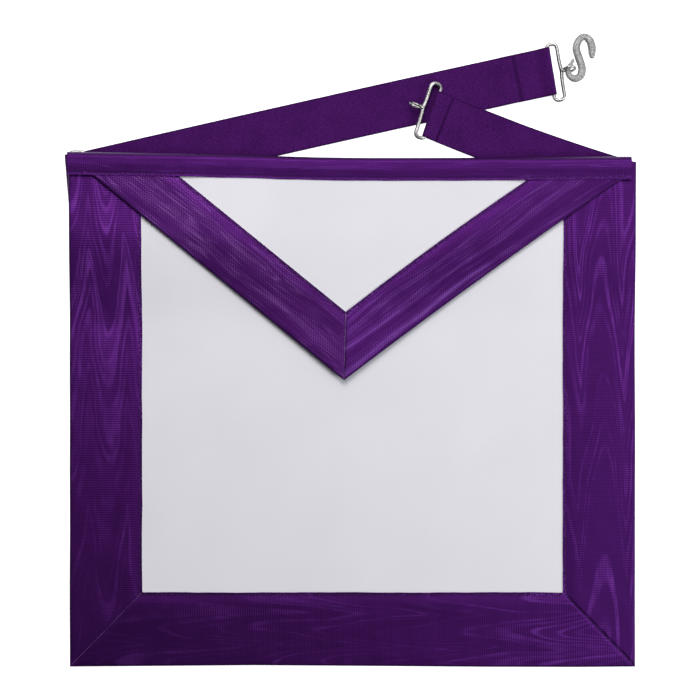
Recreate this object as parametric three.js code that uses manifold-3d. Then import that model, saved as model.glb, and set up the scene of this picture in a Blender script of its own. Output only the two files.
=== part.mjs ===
// A lodge apron as it lies on a table, in millimetres. A white leather-cloth panel is bound on three
// sides with broad watered ribbon. A folded waistband closes its top edge and holds a pointed flap,
// which is edged with narrower ribbon. A webbing belt in two parts is folded out from under the
// waistband, and closes with a snake hook and an eye.
// +X runs from the apron's left side to its right as it lies, +Y runs up to the waist, and +Z is up.
// The origin is the middle of the panel's back.
import * as THREE from "three";
import { mergeVertices } from "three/addons/utils/BufferGeometryUtils.js";
import Module from "manifold-3d";

const wasm = await Module();
wasm.setup();

// Walls, and the gap between layers that lie on each other
const ribbonWall = 1.0;
const panelWall = 1.0;
const strapWall = 1.0;
const gap = 0.3;

// The panel and its bound edges
const apronWidth = 397.4;
const apronHeight = 361; // from the bottom edge to the waist's left corner
const sideBorder = 50.8; // a two-inch ribbon
const bottomBorder = 52;
const borderHem = 12; // turned under the panel's edge

// The waistband, and the line that its top edge follows
const waistHeight = 16.2;
const waistTurned = 15; // behind the apron
const waistSag = 3.8;
const waistPastLeft = 0.6;
const waistShortRight = 3.5;
const waistLine = [
  { across: -1, sag: 0 },
  { across: -0.58, sag: 0.35 },
  { across: -0.33, sag: 0.59 },
  { across: -0.12, sag: 0.9 },
  { across: 0.05, sag: 1 },
  { across: 0.4, sag: 1 },
  { across: 1, sag: 0.79 },
];

// The flap, measured where its edges leave the waistband
const flapTipDrop = 156.2; // below the waist's top edge
const flapTipOff = -6; // the tip lies a little left of the middle
const flapInsetLeft = 16.4; // from the apron's side to the flap's corner
const flapInsetRight = 11.3;
const flapInsideWaist = 1.6; // how far its hidden corners stay inside the waistband's ends
const flapRibbon = 38.1; // a one-and-a-half-inch ribbon
const flapHem = 8;
const flapBow = 1.3; // the right edge is drawn in by this much
const flapTipLift = 3;

// The belt
const strapWidth = 33.6;
const longDepth = 18.4; // from the waist's top edge to the middle of the strap's fold
const shortDepth = 20.6;
const strapSewn = 62; // hidden behind the apron
const longRun = 350.3; // from the fold to the hook
const longPast = 2.2; // how far the fold stands out past the apron's side
const shortRun = 152.9; // from the fold to the eye
const shortPast = 0.1;
const longTurned = 28; // sewn under, behind the hook's slide
const shortTurned = 11.6; // sewn over, in front of the eye's slide
const headings = {
  longSewn: 177.1,
  longFold: 94.8,
  longStart: 12.9,
  longChord: 12.53,
  longEnd: 12.0,
  hookSlide: 9.3,
  shortSewn: 12,
  shortFold: 88.6,
  shortStart: 163.5,
  shortChord: 160.6,
  shortEnd: 157.6,
  eyeSlide: 160.45,
}; // degrees, from +X towards +Y

// The metal
const slideWire = 2.1;
const slidePlay = 2.5; // between the strap's edge and the slide's end
const slideSpacing = 7.3; // between the middles of its two bars
const slideOff = -0.9; // how far a slide has slipped along its bar
const adjusterSpacing = 12.4;
const adjusterCorner = 4;
const slideTilt = 9; // degrees: the outer bar stands a little higher
const eyeWire = 1.4;
const eyePlay = 0.75; // round the hook's tail
const eyeNeck = 1.35; // from the slide's bar to the room for the tail
const eyeSpare = 1.6; // more room, past the tail
const tailOut = 0.4; // how far the tail has slid along the eye
const tailDown = 0.6; // how far it has settled on the eye's lower wire
const eyeTurn = 68; // degrees that the eye is twisted out of the slide's plane
const hookLength = 35.4;
const hookBar = 4.9; // the shaft's width
const hookFlatness = 0.68; // its thickness against its width
// The snake from its head to its tail, from the place where the tail passes through the eye. across
// and along are shares of its length, and width is a share of the shaft's.
const snake = [
  { across: 0.48, along: 0.252, width: 0.5 },
  { across: 0.482, along: 0.32, width: 1 },
  { across: 0.479, along: 0.455, width: 1.19 },
  { across: 0.426, along: 0.6, width: 1.15 },
  { across: 0.32, along: 0.66, width: 0.94 },
  { across: 0.224, along: 0.59, width: 1 },
  { across: 0.17, along: 0.43, width: 1.1 },
  { across: 0.224, along: 0.221, width: 1.15 },
  { across: 0.281, along: 0.021, width: 1.13 },
  { across: 0.247, along: -0.132, width: 1.1 },
  { across: 0.128, along: -0.19, width: 1.02 },
  { across: 0.025, along: -0.118, width: 0.84 },
  { across: 0, along: 0, width: 0.7 },
  { across: 0.054, along: 0.096, width: 0.5 },
  { across: 0.105, along: 0.185, width: 0.22 },
];
const tailWidth = 0.7 * hookBar;

// How the apron drapes over the belt that is folded out behind its waist
const drapeLength = 68;
const sagLength = 90;

// Faceting: steps round or along each kind of shape
const foldSteps = 6;
const faceSteps = 3;
const bendSteps = 5;
const borderSteps = 4;
const edgeSteps = 7;
const flapRows = 24;
const flapColumns = 18;
const straightSteps = 10;
const slideSteps = 16;
const crossingSteps = 26;
const topSteps = 90;
const cornerSteps = 4;
const wireSides = 8;
const hookSides = 12;
const hookRings = 3; // for each row of the snake's table
const weldWithin = 1e-4;

const radians = THREE.MathUtils.degToRad;
const clamp = THREE.MathUtils.clamp;
const lerp = THREE.MathUtils.lerp;
const up = new THREE.Vector3(0, 0, 1);

// 0 below the start, 1 above the end, and a smooth rise between
function ease(value, start, end) {
  const share = clamp((value - start) / (end - start), 0, 1);
  return share * share * (3 - 2 * share);
}

function heading(degrees) {
  return new THREE.Vector3(Math.cos(radians(degrees)), Math.sin(radians(degrees)), 0);
}

// A value read from a table by straight lines between its rows
function readTable(table, key, at, column) {
  const last = table.length - 1;
  if (at <= table[0][key]) return table[0][column];
  if (at >= table[last][key]) return table[last][column];
  const next = table.findIndex((row) => row[key] > at);
  const low = table[next - 1];
  const high = table[next];
  const share = (at - low[key]) / (high[key] - low[key]);
  return lerp(low[column], high[column], share);
}

function steps(count) {
  return Array.from({ length: count + 1 }, (_, i) => i / count);
}

// Levels above the panel's back: hem and panel, border, flap, flap ribbon, waistband
const sheetWall = Math.max(ribbonWall, panelWall);
const borderLow = sheetWall + gap;
const borderHigh = borderLow + ribbonWall;
const flapLow = borderHigh + gap;
const flapHigh = flapLow + sheetWall;
const flapFaceHigh = flapHigh + gap + ribbonWall;
const waistLow = -gap - ribbonWall;
const waistHighSides = flapFaceHigh + gap + ribbonWall;
const waistHighMiddle = flapHigh + gap + ribbonWall;

// The apron's outline
const leftSide = -apronWidth / 2;
const rightSide = apronWidth / 2;
const bottomEdge = -apronHeight / 2;
const waistLeft = leftSide - waistPastLeft;
const waistRight = rightSide - waistShortRight;

function waistTop(x) {
  const across = x / (apronWidth / 2);
  return apronHeight / 2 - waistSag * readTable(waistLine, "across", across, "sag");
}

// The flap's corners where its edges leave the waistband
const flapTip = new THREE.Vector2(flapTipOff, waistTop(flapTipOff) - flapTipDrop);
const flapLeft = new THREE.Vector2(leftSide + flapInsetLeft, 0);
flapLeft.y = waistTop(flapLeft.x) - waistHeight;
const flapRight = new THREE.Vector2(rightSide - flapInsetRight, 0);
flapRight.y = waistTop(flapRight.x) - waistHeight;

// Where two lines meet that run beside the flap's edges, this far inside them
function mitrePoint(inset) {
  const left = flapTip.clone().sub(flapLeft).normalize();
  const right = flapTip.clone().sub(flapRight).normalize();
  const leftIn = new THREE.Vector2(-left.y, left.x).multiplyScalar(inset).add(flapTip);
  const rightIn = new THREE.Vector2(right.y, -right.x).multiplyScalar(inset).add(flapTip);
  const turn = left.cross(right);
  const along = rightIn.sub(leftIn).cross(right) / turn;
  return leftIn.addScaledVector(left, along);
}

// The height of the waistband's face above the panel's back: it dips between the flap's ribbons
const ribbonRise = (flapLeft.y - flapTip.y) / (flapTip.x - flapLeft.x);
const ribbonAtWaist = flapRibbon * Math.hypot(1, 1 / ribbonRise);
const faceDip = 20;

const dipLeft = flapLeft.x + ribbonAtWaist + faceDip / 4;
const dipRight = flapRight.x - ribbonAtWaist - faceDip / 4;

function waistHigh(x) {
  const dip = ease(x, dipLeft, dipLeft + faceDip) * ease(-x, -dipRight, faceDip - dipRight);
  return lerp(waistHighSides, waistHighMiddle, dip);
}

// The top edge of what the waistband holds lies at the middle of its fold
function heldTop(x) {
  return waistTop(x) - (waistHighSides - waistLow) / 2;
}

// How high the panel's back lies above the table
const underWaist = gap + ribbonWall + gap;
const riseLeft = 2 * strapWall + slideWire + 2 * gap + underWaist;
const riseRight = 2 * strapWall + gap + underWaist;
const riseMiddle = strapWall + underWaist;
const sewnLean = strapSewn * Math.sin(radians(headings.shortSewn));
const drapeTop = apronHeight / 2 - waistSag - shortDepth - sewnLean - strapWidth / 2 - gap;
const drapeFoot = drapeTop - drapeLength;

const pastSewn = 6;
const sagLeft = leftSide + strapSewn + pastSewn;
const sagRight = rightSide - strapSewn - pastSewn;

function drape(x, y) {
  const fromLeft = lerp(riseLeft, riseMiddle, ease(x, sagLeft, sagLeft + sagLength));
  const toRight = lerp(0, riseRight - riseMiddle, ease(x, sagRight - sagLength, sagRight));
  return (fromLeft + toRight) * ease(y, drapeFoot, drapeTop);
}

// Shares of a line from low to high, close together in the zones where the cloth bends
const sliver = 0.01;

function closeShares(low, high, zones) {
  const bends = zones.flatMap(([from, to]) => steps(bendSteps).map((share) => lerp(from, to, share)));
  const shares = bends.map((at) => (at - low) / (high - low));
  shares.sort((a, b) => a - b);
  return [0, ...shares.filter((share) => share > sliver && share < 1 - sliver), 1];
}

const drapeZones = [[drapeFoot, drapeTop]];
const sagZones = [[sagLeft, sagLeft + sagLength], [sagRight - sagLength, sagRight]];
const dipZones = [[dipLeft, dipLeft + faceDip], [dipRight - faceDip, dipRight]];

function flapLift(y) {
  const share = clamp((flapLeft.y - y) / (flapLeft.y - flapTip.y), 0, 1);
  return flapTipLift * share ** 3;
}

// A closed solid from rows of walls. Each place in a row holds a point on each face of the wall.
function wallSolid(rows) {
  const count = rows[0].length;
  const points = rows.flat(2).flatMap((point) => [point.x, point.y, point.z]);
  const at = (row, place, face) => (row * count + place) * 2 + face;
  const index = [];
  const quad = (a, b, c, d) => index.push(a, b, c, a, c, d);
  const lastRow = rows.length - 1;
  const lastPlace = count - 1;
  for (let i = 0; i < lastRow; i++) {
    for (let j = 0; j < lastPlace; j++) {
      quad(at(i, j, 0), at(i + 1, j, 0), at(i + 1, j + 1, 0), at(i, j + 1, 0));
      quad(at(i, j, 1), at(i, j + 1, 1), at(i + 1, j + 1, 1), at(i + 1, j, 1));
    }
    quad(at(i, 0, 0), at(i, 0, 1), at(i + 1, 0, 1), at(i + 1, 0, 0));
    quad(at(i, lastPlace, 0), at(i + 1, lastPlace, 0), at(i + 1, lastPlace, 1), at(i, lastPlace, 1));
  }
  for (let j = 0; j < lastPlace; j++) {
    quad(at(0, j, 0), at(0, j + 1, 0), at(0, j + 1, 1), at(0, j, 1));
    quad(at(lastRow, j, 0), at(lastRow, j, 1), at(lastRow, j + 1, 1), at(lastRow, j + 1, 0));
  }
  return facingOut(points, index);
}

// A closed solid from rings of points, with a fan over each end
function ringSolid(rings, joined) {
  const sides = rings[0].length;
  const points = rings.flat().flatMap((point) => [point.x, point.y, point.z]);
  const index = [];
  const last = joined ? rings.length : rings.length - 1;
  for (let i = 0; i < last; i++) {
    const next = (i + 1) % rings.length;
    for (let j = 0; j < sides; j++) {
      const beside = (j + 1) % sides;
      index.push(i * sides + j, next * sides + j, next * sides + beside);
      index.push(i * sides + j, next * sides + beside, i * sides + beside);
    }
  }
  const end = (rings.length - 1) * sides;
  for (let j = 1; !joined && j < sides - 1; j++) {
    index.push(0, j, j + 1);
    index.push(end, end + j + 1, end + j);
  }
  return facingOut(points, index);
}

// The geometry with its faces turned to point out
function facingOut(points, index) {
  const a = new THREE.Vector3();
  const b = new THREE.Vector3();
  const c = new THREE.Vector3();
  let volume = 0;
  for (let i = 0; i < index.length; i += 3) {
    a.fromArray(points, index[i] * 3);
    b.fromArray(points, index[i + 1] * 3);
    c.fromArray(points, index[i + 2] * 3);
    volume += a.dot(b.cross(c));
  }
  if (volume < 0) index.reverse();
  const geometry = new THREE.BufferGeometry();
  geometry.setAttribute("position", new THREE.Float32BufferAttribute(points, 3));
  geometry.setIndex(index);
  return mergeVertices(geometry, weldWithin);
}

// The section of a ribbon that is folded round an edge: its face from the free edge to the fold, the
// round fold, and the part turned under. Each place holds the outside and the inside of the wall as a
// distance from the folded edge and a height.
function foldSection(faceWidth, turned, low, high) {
  const radius = (high - low) / 2;
  const middle = low + radius;
  const inside = radius - ribbonWall;
  const face = steps(faceSteps).map((share) => {
    const from = lerp(faceWidth, radius, share);
    return [{ from, height: high }, { from, height: high - ribbonWall }];
  });
  const fold = steps(foldSteps).slice(1, -1).map((share) => {
    const turn = Math.PI * (0.5 - share);
    const at = (r) => ({ from: radius - r * Math.cos(turn), height: middle + r * Math.sin(turn) });
    return [at(radius), at(inside)];
  });
  const under = [radius, turned].map((from) => {
    return [{ from, height: low }, { from, height: low + ribbonWall }];
  });
  return [...face, ...fold, ...under];
}

// A point a share of the way along a line of points that are evenly numbered
function alongLine(line, share) {
  const place = share * (line.length - 1);
  const from = Math.min(Math.floor(place), line.length - 2);
  return line[from].clone().lerp(line[from + 1], place - from);
}

// A ribbon folded round the line outer, with its face reaching in to the line inner
function foldedRibbon(outer, inner, width, turned, low, high, shares, lift) {
  const section = foldSection(width, turned, low, high);
  return wallSolid(shares.map((share) => {
    const edge = alongLine(outer, share);
    const free = alongLine(inner, share);
    return section.map((faces) => faces.map(({ from, height }) => {
      const point = edge.clone().lerp(free, from / width);
      const rise = drape(point.x, point.y) + lift(point.y);
      return new THREE.Vector3(point.x, point.y, height + rise);
    }));
  }));
}

const noLift = () => 0;

// The panel lies between the hems, and its top edge lies in the waistband's fold
function panelSheet() {
  const half = apronWidth / 2 - borderHem - gap;
  const foot = bottomEdge + borderHem + gap;
  return wallSolid(closeShares(foot, heldTop(0), drapeZones).map((share) => {
    return closeShares(-half, half, sagZones).map((across) => {
      const x = lerp(-half, half, across);
      const y = lerp(foot, heldTop(x), share);
      const back = drape(x, y);
      return [back + panelWall, back].map((z) => new THREE.Vector3(x, y, z));
    });
  }));
}

// A side border runs from the bottom corner's mitre to the waistband's fold
function sideRibbon(side) {
  const edge = side * (apronWidth / 2);
  const free = edge - side * sideBorder;
  const mitre = gap * Math.SQRT2;
  const outer = [
    new THREE.Vector2(edge, bottomEdge + mitre),
    new THREE.Vector2(edge, heldTop(edge)),
  ];
  const inner = [
    new THREE.Vector2(free, bottomEdge + bottomBorder + mitre),
    new THREE.Vector2(free, heldTop(free)),
  ];
  const shares = closeShares(bottomEdge, heldTop(edge), drapeZones);
  return foldedRibbon(outer, inner, sideBorder, borderHem, 0, borderHigh, shares, noLift);
}

function bottomRibbon() {
  const half = apronWidth / 2;
  const outer = [-half, half].map((x) => new THREE.Vector2(x, bottomEdge));
  const free = bottomEdge + bottomBorder;
  const inner = [-half + sideBorder, half - sideBorder].map((x) => new THREE.Vector2(x, free));
  return foldedRibbon(outer, inner, bottomBorder, borderHem, 0, borderHigh, steps(borderSteps), noLift);
}

// The flap's ribbon on one side, from the waistband's fold to the mitre at the tip
function flapEdges(side) {
  const corner = side < 0 ? flapLeft : flapRight;
  const limit = side < 0 ? waistLeft : waistRight;
  const run = flapTip.clone().sub(corner);
  const inward = new THREE.Vector2(-run.y, run.x).normalize().multiplyScalar(-side);
  const vertex = mitrePoint(flapRibbon);
  const seam = vertex.clone().sub(flapTip).normalize();
  const off = new THREE.Vector2(seam.y, -seam.x).multiplyScalar((side * gap) / 2);
  const bow = side < 0 ? 0 : flapBow;
  const free = corner.clone().addScaledVector(inward, flapRibbon);
  free.addScaledVector(run, (corner.y - free.y) / run.y);
  const line = (start, end, stop) => {
    const top = heldTop(start.x);
    const reach = start.x + ((top - start.y) / run.y) * run.x;
    const hidden = new THREE.Vector2(side * Math.min(side * reach, side * stop), top);
    const shown = steps(edgeSteps).map((share) => {
      const drawn = 4 * bow * share * (1 - share);
      return start.clone().lerp(end, share).addScaledVector(inward, drawn).add(off);
    });
    return [hidden, ...shown];
  };
  const stop = limit - side * flapInsideWaist;
  return {
    outer: line(corner, flapTip, stop),
    inner: line(free, vertex, stop - side * flapRibbon),
  };
}

const flapShares = steps(flapRows);

function flapSide(side) {
  const { outer, inner } = flapEdges(side);
  return foldedRibbon(outer, inner, flapRibbon, flapHem, flapLow, flapFaceHigh, flapShares, flapLift);
}

// The flap's sheet lies between the hems of its two ribbons, and its top edge follows the waist. That
// curve fades out within these shares of the sheet, in from its sides and down from its top.
const curveAside = 0.1;
const curveDown = 0.3;

function flapSheet() {
  const share = (flapHem + gap) / flapRibbon;
  const edges = [flapEdges(-1), flapEdges(1)];
  const sides = (along) => edges.map(({ outer, inner }) => {
    return alongLine(outer, along).lerp(alongLine(inner, along), share);
  });
  const [topLeft, topRight] = sides(0);
  return wallSolid(flapShares.map((along) => {
    const [from, to] = sides(along);
    return steps(flapColumns).map((across) => {
      const { x, y } = from.clone().lerp(to, across);
      const straight = lerp(topLeft.y, topRight.y, (x - topLeft.x) / (topRight.x - topLeft.x));
      const inside = ease(across * (1 - across), 0, curveAside) * (1 - ease(along, 0, curveDown));
      const follow = (heldTop(x) - straight) * inside;
      const rise = flapLow + drape(x, y + follow) + flapLift(y);
      return [rise + panelWall, rise].map((z) => new THREE.Vector3(x, y + follow, z));
    });
  }));
}

// The waistband is folded over the top of everything that it holds
function waistRibbon() {
  const zones = [...sagZones, ...dipZones];
  return wallSolid(closeShares(waistLeft, waistRight, zones).map((share) => {
    const x = lerp(waistLeft, waistRight, share);
    const section = foldSection(waistHeight, waistTurned, waistLow, waistHigh(x));
    return section.map((faces) => faces.map(({ from, height }) => {
      const y = waistTop(x) - from;
      return new THREE.Vector3(x, y, drape(x, y) + height);
    }));
  }));
}

// A strap's stations each hold the middle of the strap, the direction across it, and the way that it
// runs. Where it lies over something, rises hold how far each place across is lifted.
const places = [-0.5, -0.25, 0, 0.25, 0.5];

function strapSolid(stations) {
  return wallSolid(stations.map(({ middle, across, way, rises }) => {
    const off = way.clone().cross(across).normalize().multiplyScalar(strapWall / 2);
    return places.map((side, i) => {
      const point = middle.clone().addScaledVector(across, side);
      point.z += rises ? rises[i] : 0;
      return [point.clone().add(off), point.clone().sub(off)];
    });
  }));
}

// Stations round a fold whose axis passes through a point. The fold stands out along outward, and the
// strap goes round from one turn to the other, in degrees above the level.
function foldStations(axis, outward, across, radius, from, to) {
  return steps(foldSteps).map((share) => {
    const turn = radians(lerp(from, to, share));
    const out = outward.clone().multiplyScalar(Math.cos(turn)).addScaledVector(up, Math.sin(turn));
    const way = outward.clone().multiplyScalar(-Math.sin(turn)).addScaledVector(up, Math.cos(turn));
    return {
      middle: axis.clone().addScaledVector(out, radius - strapWall / 2),
      across,
      way: way.multiplyScalar(Math.sign(to - from)),
    };
  });
}

// The middle line of a strap between its two folds, as a curve that starts and ends at set headings
function runCurve(start, end, startHeading, endHeading) {
  const third = start.distanceTo(end) / 3;
  return new THREE.CubicBezierCurve3(
    start,
    start.clone().addScaledVector(heading(startHeading), third),
    end.clone().addScaledVector(heading(endHeading), -third),
    end,
  );
}

// Stations along a run on the table, with the rise of each place across worked out from the point
// and from how far it is from the run's end
function runStations(curve, firstAcross, lastAcross, shares, riseAt) {
  return shares.map((share) => {
    const middle = curve.getPointAt(share).setZ(strapWall / 2);
    const ahead = curve.getTangentAt(share);
    const square = up.clone().cross(ahead).multiplyScalar(strapWidth);
    const across = square.multiplyScalar(Math.sign(square.dot(firstAcross)));
    const settle = strapWidth / 2 / curve.getLength();
    across.lerp(firstAcross, 1 - ease(share, 0, settle));
    across.lerp(lastAcross, ease(share, 1 - settle, 1));
    const left = (1 - share) * curve.getLength();
    const rises = places.map((side) => riseAt(middle.clone().addScaledVector(across, side), left));
    return { middle, across, way: ahead, rises };
  });
}

// How far the strap stands above its lower layer at a distance from the slide that it is folded
// round, where it lies over its own end
const turnedFade = 15;
const wireFade = 9;
const clearOf = 3; // what a layer stays clear of an edge before it comes down

function overEnd(distance, turned) {
  const overWire = (slideWire + gap) * (1 - ease(distance, 0, wireFade));
  const overLayer = (strapWall + gap) * (1 - ease(distance, turned + clearOf, turned + turnedFade));
  return overWire + overLayer;
}

// The long strap: sewn end, fold round the adjuster, run, fold round the hook's slide, turned end
const wireRadius = slideWire / 2;
const slideFold = wireRadius + gap + strapWall;
const halfWall = strapWall / 2;
const sewnBend = 9; // from the fold to where the sewn end lies square
const leaveFold = 4.3; // from the fold to the first station of the run

function foldAcross(degrees, run) {
  return heading(degrees).multiplyScalar(strapWidth / Math.sin(radians(degrees - run)));
}

const longFoldMiddle = new THREE.Vector3(leftSide - longPast, waistTop(leftSide) - longDepth, 0);
const longFoldOut = heading(headings.longFold + 90);
const adjusterAxis = longFoldMiddle.clone().addScaledVector(longFoldOut, -slideFold);
adjusterAxis.z = slideFold;
const hookFoldMiddle = longFoldMiddle.clone().addScaledVector(heading(headings.longChord), longRun);
const hookOut = heading(headings.hookSlide);
const hookAxis = hookFoldMiddle.clone().addScaledVector(hookOut, -slideFold);
hookAxis.z = slideFold;
const longCurve = runCurve(
  adjusterAxis.clone().setZ(0),
  hookAxis.clone().setZ(0),
  headings.longStart,
  headings.longEnd,
);

function longStations() {
  const foldLine = foldAcross(headings.longFold, headings.longStart);
  const hookLine = foldAcross(headings.hookSlide + 90, headings.longEnd);
  const sewnWay = heading(headings.longSewn);
  const sewnSquare = heading(headings.longSewn - 90).multiplyScalar(strapWidth);
  const upper = slideFold * 2 - halfWall;
  const sewn = [strapSewn, sewnBend].map((back) => {
    const middle = adjusterAxis.clone().addScaledVector(sewnWay, -back).setZ(upper);
    return { middle, across: sewnSquare, way: sewnWay };
  });
  const rise = (point, left) => overEnd(left, longTurned - slideFold);
  const nearHook = 1 - (longTurned + turnedFade) / longCurve.getLength();
  const shares = [
    ...steps(straightSteps).map((s) => lerp(leaveFold / longCurve.getLength(), nearHook, s)),
    ...steps(slideSteps).slice(1, -1).map((s) => lerp(nearHook, 1, s)),
  ];
  const back = heading(headings.longEnd).negate();
  const square = up.clone().cross(back).multiplyScalar(-strapWidth);
  const turned = [sewnBend, longTurned].map((reach) => {
    const middle = hookAxis.clone().addScaledVector(back, reach - slideFold);
    return { middle: middle.setZ(halfWall), across: square, way: back };
  });
  return [
    ...sewn,
    ...foldStations(adjusterAxis, longFoldOut, foldLine, slideFold, 90, -90),
    ...runStations(longCurve, foldLine, hookLine, shares, rise),
    ...foldStations(hookAxis, hookOut, hookLine, slideFold, 90, -90),
    ...turned,
  ];
}

// The top of the long strap where a point lies over it, and how fast a strap on it comes down beside
const longTops = steps(topSteps).map((share) => {
  const point = longCurve.getPointAt(share);
  const left = longCurve.getLength() * (1 - share);
  point.z = strapWall + overEnd(left, longTurned - slideFold);
  return point;
});
const comeDown = 16;
const longEdge = strapWidth / 2 + clearOf;

function overLong(point) {
  const tops = longTops.map((top) => {
    const away = Math.hypot(point.x - top.x, point.y - top.y);
    return (top.z + gap) * (1 - ease(away, longEdge, longEdge + comeDown));
  });
  return Math.max(...tops);
}

// The short strap: sewn end, plain fold, run that passes over the long strap, fold round the eye's
// slide, turned end on top
const plainFold = strapWall + gap / 2;
const shortFoldMiddle = new THREE.Vector3(rightSide + shortPast, waistTop(rightSide) - shortDepth, 0);
const shortFoldOut = heading(headings.shortFold - 90);
const shortAxis = shortFoldMiddle.clone().addScaledVector(shortFoldOut, -plainFold);
shortAxis.z = plainFold;
const eyeFoldMiddle = shortFoldMiddle.clone().addScaledVector(heading(headings.shortChord), shortRun);
const eyeOut = heading(headings.eyeSlide);
const eyeAxis = eyeFoldMiddle.clone().addScaledVector(eyeOut, -slideFold);
const shortCurve = runCurve(
  shortAxis.clone().setZ(0),
  eyeAxis.clone().setZ(0),
  headings.shortStart,
  headings.shortEnd,
);

// The eye's slide lies level, on the highest thing under the strap's end
const eyeLine = foldAcross(headings.eyeSlide + 90, headings.shortEnd).negate();
const underEye = places.map((side) => overLong(eyeAxis.clone().addScaledVector(eyeLine, side)));
const eyeLift = Math.max(...underEye);
eyeAxis.z = eyeLift + slideFold;

function shortStations() {
  const foldLine = foldAcross(headings.shortFold, headings.shortStart).multiplyScalar(-1);
  const sewnWay = heading(headings.shortSewn);
  const sewnSquare = heading(headings.shortSewn + 90).multiplyScalar(strapWidth);
  const sewn = [strapSewn, sewnBend].map((back) => {
    const middle = shortAxis.clone().addScaledVector(sewnWay, -back).setZ(2 * plainFold - halfWall);
    return { middle, across: sewnSquare, way: sewnWay };
  });
  const rise = (point, left) => {
    const under = overLong(point);
    return lerp(Math.max(under, eyeLift), under, ease(left, 0, strapWidth / 2));
  };
  const leave = leaveFold / shortCurve.getLength();
  const shares = steps(crossingSteps).slice(0, -1).map((s) => lerp(leave, 1, s));
  const back = heading(headings.shortEnd).negate();
  const square = up.clone().cross(back).multiplyScalar(strapWidth * Math.sign(eyeLine.y * back.x));
  const length = shortTurned - slideFold;
  const turned = steps(bendSteps).slice(1).map((share) => {
    const middle = eyeAxis.clone().addScaledVector(back, length * share);
    middle.z = eyeLift + halfWall + overEnd(length * share, length);
    return { middle, across: square, way: back };
  });
  return [
    ...sewn,
    ...foldStations(shortAxis, shortFoldOut, foldLine, plainFold, 90, -90),
    ...runStations(shortCurve, foldLine, eyeLine, shares, rise),
    ...foldStations(eyeAxis, eyeOut, eyeLine, slideFold, -90, 90),
    ...turned,
  ];
}

// A closed loop of round wire that lies flat: a rectangle with rounded corners, whose inner bar lies
// along Y through the origin
function wireLoop(spacing, length, corner, radius) {
  const centres = [
    { x: spacing - corner, y: length / 2 - corner, from: 0 },
    { x: corner, y: length / 2 - corner, from: 90 },
    { x: corner, y: corner - length / 2, from: 180 },
    { x: spacing - corner, y: corner - length / 2, from: 270 },
  ];
  const rings = centres.flatMap(({ x, y, from }) => steps(cornerSteps).map((share) => {
    const out = heading(from + 90 * share);
    const middle = new THREE.Vector3(x, y, 0).addScaledVector(out, corner);
    return steps(wireSides).slice(0, -1).map((turn) => {
      const angle = 2 * Math.PI * turn;
      return middle.clone().addScaledVector(out, radius * Math.cos(angle))
        .addScaledVector(up, radius * Math.sin(angle));
    });
  }));
  return ringSolid(rings, true);
}

function manifoldOf(geometry) {
  const positions = new THREE.BufferGeometry();
  positions.setAttribute("position", geometry.getAttribute("position"));
  positions.setIndex(geometry.index);
  const merged = mergeVertices(positions, weldWithin);
  return new wasm.Manifold(new wasm.Mesh({
    numProp: 3,
    vertProperties: new Float32Array(merged.attributes.position.array),
    triVerts: new Uint32Array(merged.index.array),
  }));
}

function joined(first, second) {
  const mesh = manifoldOf(first).add(manifoldOf(second)).getMesh();
  const geometry = new THREE.BufferGeometry();
  geometry.setAttribute("position", new THREE.BufferAttribute(mesh.vertProperties, 3));
  geometry.setIndex(new THREE.BufferAttribute(mesh.triVerts, 1));
  return geometry;
}

const slideLength = strapWidth + 2 * slidePlay + slideWire;
const tailRoom = tailWidth + 2 * eyePlay;
const eyeWidth = tailRoom / Math.sin(radians(eyeTurn)) + eyeWire;
const eyeLength = wireRadius + eyeNeck + eyeWire + tailRoom + eyeSpare;
const eyeMiddle = slideSpacing + wireRadius + eyeNeck + tailRoom / 2;

// A slide with an eye soldered to its outer bar, twisted out of the slide's plane
function slideWithEye() {
  const frame = wireLoop(slideSpacing, slideLength, slideSpacing / 2, wireRadius);
  frame.translate(0, slideOff, 0);
  const eye = wireLoop(eyeLength, eyeWidth, eyeWidth / 2, eyeWire / 2);
  eye.rotateX(radians(eyeTurn));
  eye.translate(slideSpacing, slideOff, 0);
  return joined(frame, eye);
}

// The snake hook is swept flat, from the place where its tail passes through the eye
function snakeSolid() {
  const points = snake.map(({ across, along }) => {
    return new THREE.Vector3(across * hookLength, along * hookLength, 0);
  });
  const curve = new THREE.CatmullRomCurve3(points, false, "centripetal");
  const count = hookRings * (snake.length - 1);
  const body = steps(count).map((share) => {
    const place = share * (snake.length - 1);
    const low = snake[Math.min(Math.floor(place), snake.length - 2)];
    const high = snake[Math.min(Math.floor(place) + 1, snake.length - 1)];
    const width = lerp(low.width, high.width, place - Math.floor(place)) * hookBar;
    const middle = curve.getPoint(share);
    const side = curve.getTangent(share).cross(up).normalize();
    return steps(hookSides).slice(0, -1).map((turn) => {
      const angle = 2 * Math.PI * turn;
      return middle.clone().addScaledVector(side, (width / 2) * Math.cos(angle))
        .addScaledVector(up, (width / 2) * hookFlatness * Math.sin(angle));
    });
  });
  return ringSolid(body, false);
}

const materials = {
  leather: { color: 0xe4e3e9, roughness: 0.45, metalness: 0 },
  moire: { color: 0x4a1a6c, roughness: 0.5, metalness: 0 },
  webbing: { color: 0x45175c, roughness: 0.85, metalness: 0 },
  steel: { color: 0xc6c7ca, roughness: 0.25, metalness: 1 },
  castSilver: { color: 0xb9babc, roughness: 0.4, metalness: 1 },
};

function piece(name, geometry, finish) {
  geometry.computeVertexNormals();
  const mesh = new THREE.Mesh(geometry, new THREE.MeshStandardMaterial(materials[finish]));
  mesh.name = name;
  return mesh;
}

// A slide stands with its inner bar in a strap's fold
function placedSlide(name, geometry, axis, degrees, tilt) {
  const mesh = piece(name, geometry, "steel");
  const holder = new THREE.Group();
  mesh.rotation.y = -radians(tilt);
  holder.rotation.z = radians(degrees);
  holder.position.copy(axis);
  holder.add(mesh);
  return holder;
}

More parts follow.
